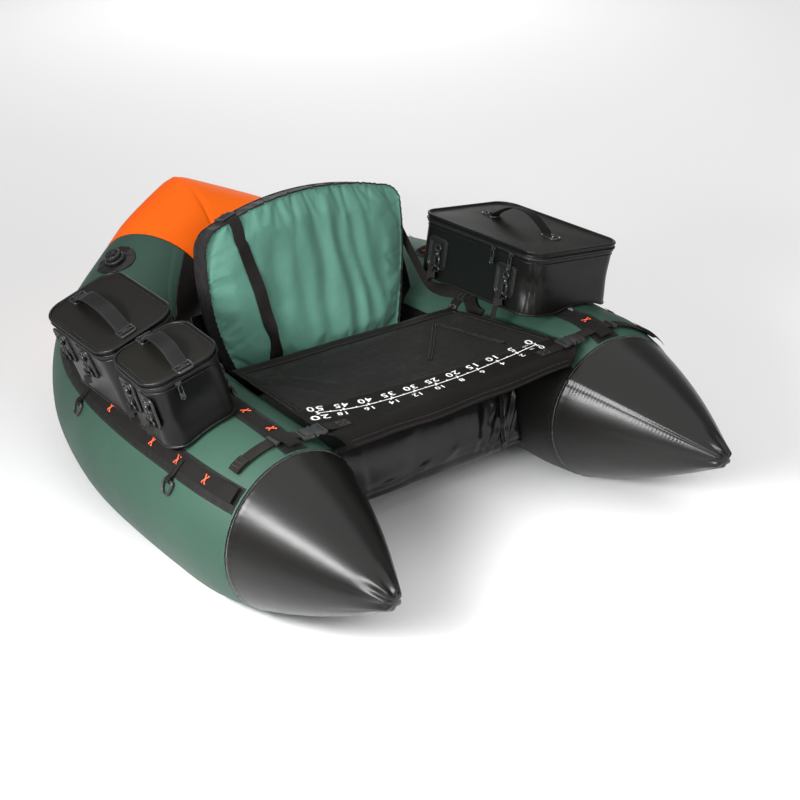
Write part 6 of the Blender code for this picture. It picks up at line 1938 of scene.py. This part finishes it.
def tackle_bag(name, b):
    side, u, w, l = b["side"], b["u"], b["w"], b["l"]
    h = b["h"] - LID_T
    c = frames([s_at_y(b["y"])])[0][0]
    B = np.array(Matrix.Translation((side * c[0], b["y"], AXIS_Z)) @ Euler((0, math.radians(b["tilt"]), math.radians(b["yaw"]))).to_matrix().to_4x4())
    centre = np.array((u, 0.0))
    top, bottom = BAG_FLOOR + h, BAG_FLOOR - b["drop"] + (0.0035 if side > 0 else 0.0)
    R = 0.036
    P, N, s = outline(w - 0.0016, l - 0.0016, R)
    F = np.r_[0, 0.006, 0.015, 0.03, np.linspace(0.06, 0.94, 30), 0.965, 0.985, 1.0]
    zb = rest_z(B, side, P[:, 0] + u, P[:, 1], 0.0052, bottom)
    for _ in range(3):
        zb = (np.roll(zb, 1) + 2 * zb + np.roll(zb, -1)) / 4
    zb = np.maximum(zb, rest_z(B, side, P[:, 0] + u, P[:, 1], 0.0046, bottom))
    zt = top - 0.0006
    d = wall_dent(name, w, l, P, N, s, F)
    outer = []
    for i, f in enumerate(F):
        shrink = 0.0028 * max(0.0, (f - 0.955) / 0.045) ** 2
        z = zt + (zb - zt) * f
        q = P + N * (d[i] - shrink)[:, None] + centre
        outer.append(np.column_stack([q, z]))
    inner = []
    for i in (0, 3, 8, 14, 20, 26, 31, 34):
        z = zt + (zb + 0.0034 - zt) * F[i]
        q = P + N * (d[i] - 0.0030)[:, None] + centre
        inner.append(np.column_stack([q, z]))

    def web(ring, lift, shift):
        out = []
        for k in (0.93, 0.80, 0.62, 0.42, 0.22, 0.06):
            q = centre + (ring[:, :2] - centre) * k
            z = rest_z(B, side, q[:, 0], q[:, 1], lift, bottom + shift)
            out.append(np.column_stack([q, z]))
        return out

    under = web(outer[-1], 0.0050, 0.0)
    inside = web(inner[-1], 0.0080, 0.0034)
    V, Fc = rings_mesh(inside[::-1] + inner[::-1] + outer + under)
    wob = place(B, V)
    body = mesh_object(name + "_shell", wob, Fc, BAG, [(p[0] + p[1], p[2]) for p in V])
    bm = bmesh.new()
    bm.from_mesh(body.data)
    bmesh.ops.recalc_face_normals(bm, faces=bm.faces)
    bm.to_mesh(body.data)
    bm.free()
    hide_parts(name + "_body")
    # bottom rim, collar pipings and the zip between tub and lid
    pipes = Bits()
    rim = outer[-2].copy()
    rim[:, :2] += N * 0.0006
    rim[:, 2] += 0.0012
    pipes.tube(place(B, rim), 0.0024, 8, closed=True)
    for inset, z, r in ((-0.0012, top - 0.0024, 0.0019), (-0.0002, top - 0.0105, 0.0012)):
        q = P - N * inset + centre
        pipes.tube(place(B, np.column_stack([q, np.full(len(q), z)])), r, 8, closed=True)
    pipes.make(name + "_piping", RUBBER)
    zp = Bits()
    q = P + N * 0.0006 + centre
    coil = np.column_stack([q, np.full(len(q), top - 0.0002)])
    zp.tube(place(B, coil), 0.0011, 6, closed=True)
    Pf, Nf, sf = outline(w + 0.0002, l + 0.0002, R, int((2 * w + 2 * l) / 0.0030))
    for p, nrm in zip(Pf[::1], Nf[::1]):
        x, y = p + centre
        M = B @ frame_matrix((x + nrm[0] * 0.0008, y + nrm[1] * 0.0008, top - 0.0002), (-nrm[1], nrm[0], 0), (nrm[0], nrm[1], 0), (0, 0, -1))
        hx, hy, hz = 0.0007, 0.0008, 0.0014
        v = [(a * hx, c2 * hy, e * hz) for a in (-1, 1) for c2 in (-1, 1) for e in (-1, 1)]
        zp.add(place(M, v), [(0, 1, 3, 2), (4, 6, 7, 5), (0, 4, 5, 1), (2, 3, 7, 6), (0, 2, 6, 4), (1, 5, 7, 3)])
    zp.make(name + "_zip_teeth", PLASTIC)

    # ------------------------------ lid
    lw, ll = w + 2 * LID_OVER, l + 2 * LID_OVER
    PL, NL, sl = outline(lw - 0.0050, ll - 0.0050, R + 0.002)
    lid = name + "_lid_body"
    base = BAG_FLOOR + h

    def ring(inset, z, k=None):
        q = (PL * k if k is not None else PL - NL * inset) + centre
        return np.column_stack([q, np.full(len(q), z) if np.ndim(z) == 0 else z])

    rings = []
    for k in (0.05, 0.2, 0.38, 0.55, 0.70, 0.82, 0.90):
        q = PL * k
        dish = 0.0016 * (1 - k ** 2) - 0.0009 * math.exp(-((k - 0.90) / 0.05) ** 2)
        soft = 0.0007 * np.sin(q[:, 0] * 38 + 0.5) * np.cos(q[:, 1] * 29 + 1)
        rings.append(np.column_stack([q + centre, base + LID_T - 0.0034 + dish + soft]))
    rings += [ring(0.0035, base + LID_T - 0.0036), ring(0.0010, base + LID_T - 0.0030), ring(0.0, base + LID_T - 0.0042)]
    for t in np.linspace(0.15, 1, 6):
        rings.append(ring(0.0004 + 0.0010 * math.sin(t * math.pi), base + (LID_T - 0.0042) * (1 - t) + 0.0012 * t))
    rings += [ring(0.0012, base + 0.0006), ring(0.0030, base + 0.0008), ring(0.0032, base + 0.0060), ring(0.0032, base + LID_T - 0.0066)]
    for k in (0.85, 0.55, 0.2, 0.05):
        rings.append(ring(0, base + LID_T - 0.0066 + 0.0012 * (1 - k), k))
    V, Fc = rings_mesh(rings)
    nr = len(PL)
    idx = [0] * (9 * nr) + [1] * ((len(rings) - 1 - 9) * nr) + [0] * nr + [1] * nr
    top_ob = mesh_object(name + "_lid_shell", place(B, V), Fc, [LID, BAG], [(p[0], p[1] + p[2]) for p in V], idx, body=lid)
    bm = bmesh.new()
    bm.from_mesh(top_ob.data)
    bmesh.ops.recalc_face_normals(bm, faces=bm.faces)
    bm.to_mesh(top_ob.data)
    bm.free()
    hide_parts(name + "_lid")
    pp = Bits()
    for inset, z, r in ((0.0006, base + LID_T - 0.0030, 0.0029), (-0.0006, base + 0.0026, 0.0018)):
        pp.tube(place(B, ring(inset, z)), r, 10, closed=True)
    pp.make(name + "_lid_piping", RUBBER if name != "x" else None, lid)
    st = Bits()
    st.stitches(place(B, ring(0.0064, base + LID_T - 0.0024)), np.tile(B[:3, 2], (nr, 1)), 0.0040, 0.0027, 0.00032)
    st.make(name + "_lid_stitches", BLACK_THREAD, lid)

    # ------------------------------ handle
    y0, y1 = b["handle"]
    ym, pk, t0 = (y0 + y1) / 2, b["peak"], 0.0012
    q = (y1 - y0) / 2
    zl = base + LID_T - 0.0018
    hx = u + b["across"]
    kind = name
    width = 0.0310 if kind == "right_bag" else 0.0290
    if kind == "right_bag":
        track = [(y0 - 0.010, t0), (y0 + 0.004, t0 + 0.001), (y0 + 0.016, 0.34 * pk), (ym - 0.40 * q, 0.84 * pk), (ym - 0.05 * q, pk), (ym + 0.35 * q, 0.90 * pk), (y1 - 0.016, 0.34 * pk), (y1 - 0.004, t0 + 0.001), (y1 + 0.010, t0)]
    else:
        track = [(y0 - 0.010, t0), (y0 + 0.006, t0 + 0.0008), (y0 + 0.018, 0.36 * pk), (ym - 0.45 * q, 0.86 * pk), (ym, pk), (ym + 0.45 * q, 0.86 * pk), (y1 - 0.018, 0.36 * pk), (y1 - 0.006, t0 + 0.0008), (y1 + 0.010, t0)]
    C = spline([(hx, y, zl + z) for y, z in track], 8)
    A = np.tile((1.0, 0, 0), (len(C), 1))
    k = np.linspace(-1, 1, len(C))
    if kind == "right_bag":
        A = A + np.column_stack([0 * k, 0.05 * np.sin(k * 3), -0.10 + 0.08 * np.sin(k * 2.6)])
        wd = width * (1 - 0.16 * np.clip(np.abs(k) - 0.72, 0, 1) / 0.28)
    else:
        wd = np.full(len(C), width)
    hb = Bits()
    hb.strap(place(B, C), A @ B[:3, :3].T, wd, 0.0030 if kind != "right_bag" else 0.0022, 9, 0.0006)
    hob = hb.make(name + "_handle_band", HANDLE if kind != "right_bag" else WEB_FINE, lid)
    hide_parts(name + "_handle")
    ab, sb = Bits(), Bits()
    for e, ye in ((-1, y0), (1, y1)):
        M = B @ np.array(Matrix.Translation((hx, ye + e * 0.002, zl - 0.0008)))
        if kind == "right_bag":
            pad(ab, M @ np.array(Matrix.Translation((0, e * 0.004, 0))), (0.0300, 0.0440), 0.0148, [(0, 0), (0, 0.0016), (0.0008, 0.0026), (0.0026, 0.0030), (0.0036, 0.0022), (0.0060, 0.0020), (0.0100, 0.0022)])
            V, Fc = turned([(0.0, 0.0046), (0.0030, 0.0048), (0.0046, 0.0046), (0.0056, 0.0034), (0.0058, 0.0)], 28)
            ab.add(place(M @ np.array(Matrix.Translation((0, e * 0.010, 0.0020))), V), Fc)
        else:
            pad(ab, M @ np.array(Matrix.Translation((0, e * 0.002, 0))), (0.0340, 0.0300), 0.0060, [(0, 0), (0, 0.0020), (0.0009, 0.0031), (0.0028, 0.0034), (0.0036, 0.0026), (0.0050, 0.0026)])
            for dy in (-0.0060, 0.0060):
                ab.box(M @ np.array(Matrix.Translation((0, e * 0.003 + dy, 0.0044))), (0.0270, 0.0030, 0.0024), 0.0009)
            pts = [(-0.010, e * 0.003 - 0.004), (0.010, e * 0.003 + 0.004), (0.010, e * 0.003 - 0.004), (-0.010, e * 0.003 + 0.004)]
            for a, c2 in ((0, 1), (2, 3)):
                pq = place(M, [(pts[a][0], pts[a][1], 0.0048), (pts[c2][0], pts[c2][1], 0.0048)])
                sb.stitches(pq, np.tile(B[:3, 2], (2, 1)), 0.0028, 0.0021, 0.0004)
    ab.make(name + "_handle_anchors", GLOSSY, lid)
    if sb.V:
        sb.make(name + "_handle_stitches", thread(name + "_thread", (72, 72, 72)), lid)

    # ------------------------------ strap plates with their swivel snaps, outboard or inboard
    plates, metal, tails = Bits(), Bits(), Bits()
    wall_x = u - w / 2
    spots = [(-1, y, b["z"]) for y in b["plates"]]
    if name == "left_front_bag":
        spots.append((1, -0.030, 0.050))
    for face, y, z in spots:
        wx = u + face * w / 2
        M = B @ frame_matrix((wx + face * -0.0012, y, BAG_FLOOR + z), (0, -face, 0), (0, 0, 1), (face, 0, 0))
        if face < 0:
            pad(plates, M, (0.0530, 0.0660), 0.0110, [(0, -0.0006), (0, 0.0018), (0.0008, 0.0030), (0.0024, 0.0033), (0.0034, 0.0022), (0.0048, 0.0020), (0.0056, 0.0028), (0.0068, 0.0028), (0.0080, 0.0016), (0.0100, 0.0014)], 72)
        dz = -0.006 if name == "right_bag" else 0.004
        hk = M @ np.array(Matrix.Translation((-0.006 if face < 0 else 0, dz, 0.0062)))
        th = np.linspace(0, 2 * math.pi, 22, endpoint=False)
        for cz, rx, rz, r in ((0.0185, 0.0072, 0.0060, 0.0017), (-0.0085, 0.0066, 0.0118, 0.0021), (-0.0250, 0.0090, 0.0048, 0.0016)):
            pts = np.column_stack([rx * np.sign(np.cos(th)) * np.abs(np.cos(th)) ** 0.8, cz + rz * np.sin(th), 0.0006 * np.cos(2 * th)])
            metal.tube(place(hk, pts), r, 8, closed=True)
        V, Fc = turned([(0.0, -0.0060), (0.0032, -0.0056), (0.0048, -0.0036), (0.0050, 0.0), (0.0044, 0.0030), (0.0030, 0.0052), (0.0036, 0.0066), (0.0024, 0.0082), (0.0, 0.0086)], 20)
        metal.add(place(hk @ np.array(Matrix.Translation((0, 0.0062, 0)) @ Matrix.Rotation(-math.pi / 2, 4, "X")), V), Fc)
        metal.box(hk @ np.array(Matrix.Translation((0.0058, -0.0080, 0.0))), (0.0040, 0.0120, 0.0042), 0.0012)
        # webbing: through the lower ring, down the wall and onto the pontoon
        zr = BAG_FLOOR + z + dz - 0.0250
        xo = wx + face * 0.0062
        yo = y + (0.006 if face < 0 else 0.0) * (1 if face < 0 else 0)
        zf = float(rest_z(B, side, xo + face * 0.010, yo, 0.0040, bottom - 0.060))
        zf = max(zf, zr - (0.075 if name == "right_bag" and y < 0 else 0.030))
        pts = [(xo - face * 0.0028, yo, zr - 0.012), (xo - face * 0.0012, yo, zr - 0.003), (xo + face * 0.0010, yo, zr + 0.0022), (xo + face * 0.0030, yo, zr - 0.003), (xo + face * 0.0020, yo + 0.001, zr - 0.016), (xo + face * 0.0030, yo + 0.003, (zr + zf) / 2 - 0.004), (xo + face * 0.0060, yo + 0.004, zf + 0.006), (xo + face * 0.0070, yo + 0.005, zf + 0.001)]
        C = spline(pts, 5)
        A = np.tile((0, 1.0, 0), (len(C), 1)).astype(float)
        A[:, 0] += np.linspace(0, 0.35, len(C))
        tails.strap(place(B, C), A @ B[:3, :3].T, np.linspace(0.0185, 0.0150, len(C)), 0.0014, 5)
        # a free tail folded back beside it
        pts = [(xo + face * 0.0036, yo - 0.004, zr - 0.006), (xo + face * 0.0062, yo - 0.006, zr - 0.013), (xo + face * 0.0072, yo - 0.009, zr - 0.020)]
        C = spline(pts, 5)
        A = np.tile((face * 0.25, 1.0, 0.1), (len(C), 1)).astype(float)
        tails.strap(place(B, C), A @ B[:3, :3].T, 0.0190, 0.0013, 5)
    plates.make(name + "_strap_plates", PLATE)
    metal.make(name + "_snap_hooks", GLOSSY)
    tw = tails.make(name + "_hook_webbing", WEB)

    # ------------------------------ zip slider and pull
    kind, at = b["slider"]
    if kind == "in":
        S = Matrix.Translation((u - side * w / 2, at, BAG_FLOOR + h)) @ Matrix(((0, -side, 0), (side, 0, 0), (0, 0, 1))).to_4x4()
    else:
        S = Matrix.Translation((u + at, -l / 2, BAG_FLOOR + h)) @ Matrix(((-1, 0, 0), (0, -1, 0), (0, 0, 1))).to_4x4()

    def slider(S, sname, pname, sbody, pbody, turn=0.0):
        S = B @ np.array(S)

        def loc(x, y, z):
            return S @ np.array(Matrix.Translation((x, y, z)))

        sl = Bits()
        sl.box(loc(0, 0.0030, -0.0040), (0.0115, 0.0038, 0.0084), 0.0012)
        sl.box(loc(0, 0.0056, -0.0040), (0.0040, 0.0028, 0.0090), 0.0010)
        for q in (-1, 1):
            sl.box(loc(q * 0.0042, 0.0048, -0.0036), (0.0026, 0.0020, 0.0070), 0.0008)
        sob = sl.make(sname, GLOSSY, sbody)
        pu = Bits()
        H = loc(0, 0.0060, -0.0114)
        if turn:
            H = H @ np.array(Matrix.Rotation(turn, 4, "X"))
        w2, L2 = 0.0032, 0.0265
        th = np.linspace(0, math.pi, 9)
        path = [(w2 * math.cos(t), 0, 0.0002 + 0.0022 * math.sin(t)) for t in th] + [(-w2 * 1.05, 0, -0.012), (-w2 * 1.25, 0, -0.020)] + [(-w2 * 1.25 * math.cos(t), 0, -L2 + 0.004 - 0.0034 * math.sin(t)) for t in th] + [(w2 * 1.25, 0, -0.020), (w2 * 1.05, 0, -0.012)]
        pu.tube(place(H, path), 0.00105, 8, closed=True)
        pu.box(H @ np.array(Matrix.Translation((0, 0, -0.0185))), (0.0064, 0.0014, 0.0130), 0.0006)
        pob = pu.make(pname, GLOSSY, pbody)
        return sob, pob

    sob, pob = slider(S, name + "_slider_cast", name + "_pull_cast", name + "_slider_body", name + "_pull_body")
    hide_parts(name + "_zip_slider")
    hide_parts(name + "_zip_pull")
    if name == "right_bag":
        S2 = Matrix.Translation((u - side * w / 2, -0.098, BAG_FLOOR + h)) @ Matrix(((0, -side, 0), (side, 0, 0), (0, 0, 1))).to_4x4()
        slider(S2, "right_bag_second_slider", "right_bag_second_pull", "hull", "hull")


for bag_name, bag_data in BAGS.items():
    tackle_bag(bag_name, bag_data)


# ------------------------------------------------------------------ floor, light and camera
def stage():
    me = bpy.data.meshes.new("floor")
    me.from_pydata([(-9, -9, 0), (9, -9, 0), (9, 9, 0), (-9, 9, 0)], [], [(0, 1, 2, 3)])
    m = Mat("studio_floor", (248, 248, 248), 0.75, spec=0.15)
    n = m.noise(0.6, 2.0)
    m.tint((ramp(m, n, 0.3, 0.8), (245, 245, 245), 0.5))
    me.materials.append(m.m)
    ob = bpy.data.objects.new("floor", me)
    bpy.context.scene.collection.objects.link(ob)

    def area(name, loc, aim, size, power, colour=(1, 1, 1), size_y=None, spread=180):
        li = bpy.data.lights.new(name, "AREA")
        li.energy = power
        li.color = colour
        li.shape = "RECTANGLE"
        li.size = size
        li.spread = math.radians(spread)
        li.size_y = size_y or size
        o = bpy.data.objects.new(name, li)
        o.location = loc
        o.rotation_euler = (Vector(aim) - Vector(loc)).to_track_quat("-Z", "Y").to_euler()
        bpy.context.scene.collection.objects.link(o)

    area("key", (-1.42, -0.74, 1.00), (0.0, -0.62, 0.18), 1.5, 14.5, size_y=0.24, spread=85)
    area("fill", (-0.6, -3.2, 1.9), (0, 0, 0.3), 1.6, 29)
    area("rim", (2.40, 3.60, 1.20), (0.35, 0.0, 0.45), 1.7, 20, size_y=1.1)
    su = bpy.data.lights.new("overhead", "SUN")
    su.energy = 1.55
    su.angle = math.radians(84)
    o = bpy.data.objects.new("overhead", su)
    o.rotation_euler = (0, 0, 0)
    bpy.context.scene.collection.objects.link(o)
    w = bpy.data.worlds.new("studio")
    w.use_nodes = True
    w.node_tree.nodes["Background"].inputs["Color"].default_value = (1.0, 1.0, 1.0, 1.0)
    w.node_tree.nodes["Background"].inputs["Strength"].default_value = 0.24
    bpy.context.scene.world = w

    bpy.context.scene.view_settings.view_transform = "Standard"
    bpy.context.scene.view_settings.look = "None"
    bpy.context.scene.view_settings.exposure = 0.0

    cam = bpy.data.cameras.new("camera")
    cam.lens = 76.82
    cam.sensor_width = 36.0
    cam.clip_start = 0.05
    cam.clip_end = 60
    c = bpy.data.objects.new("camera", cam)
    right, up, fwd = (0.79712, -0.60380, -0.00530), (0.28066, 0.36272, 0.88863), (0.53464, 0.70983, -0.45859)
    M = Matrix(((right[0], up[0], -fwd[0]), (right[1], up[1], -fwd[1]), (right[2], up[2], -fwd[2])))
    c.matrix_world = Matrix.Translation((-1.76201, -2.54366, 1.73122)) @ M.to_4x4()
    bpy.context.scene.collection.objects.link(c)
    bpy.context.scene.camera = c


stage()
bpy.context.view_layer.update()
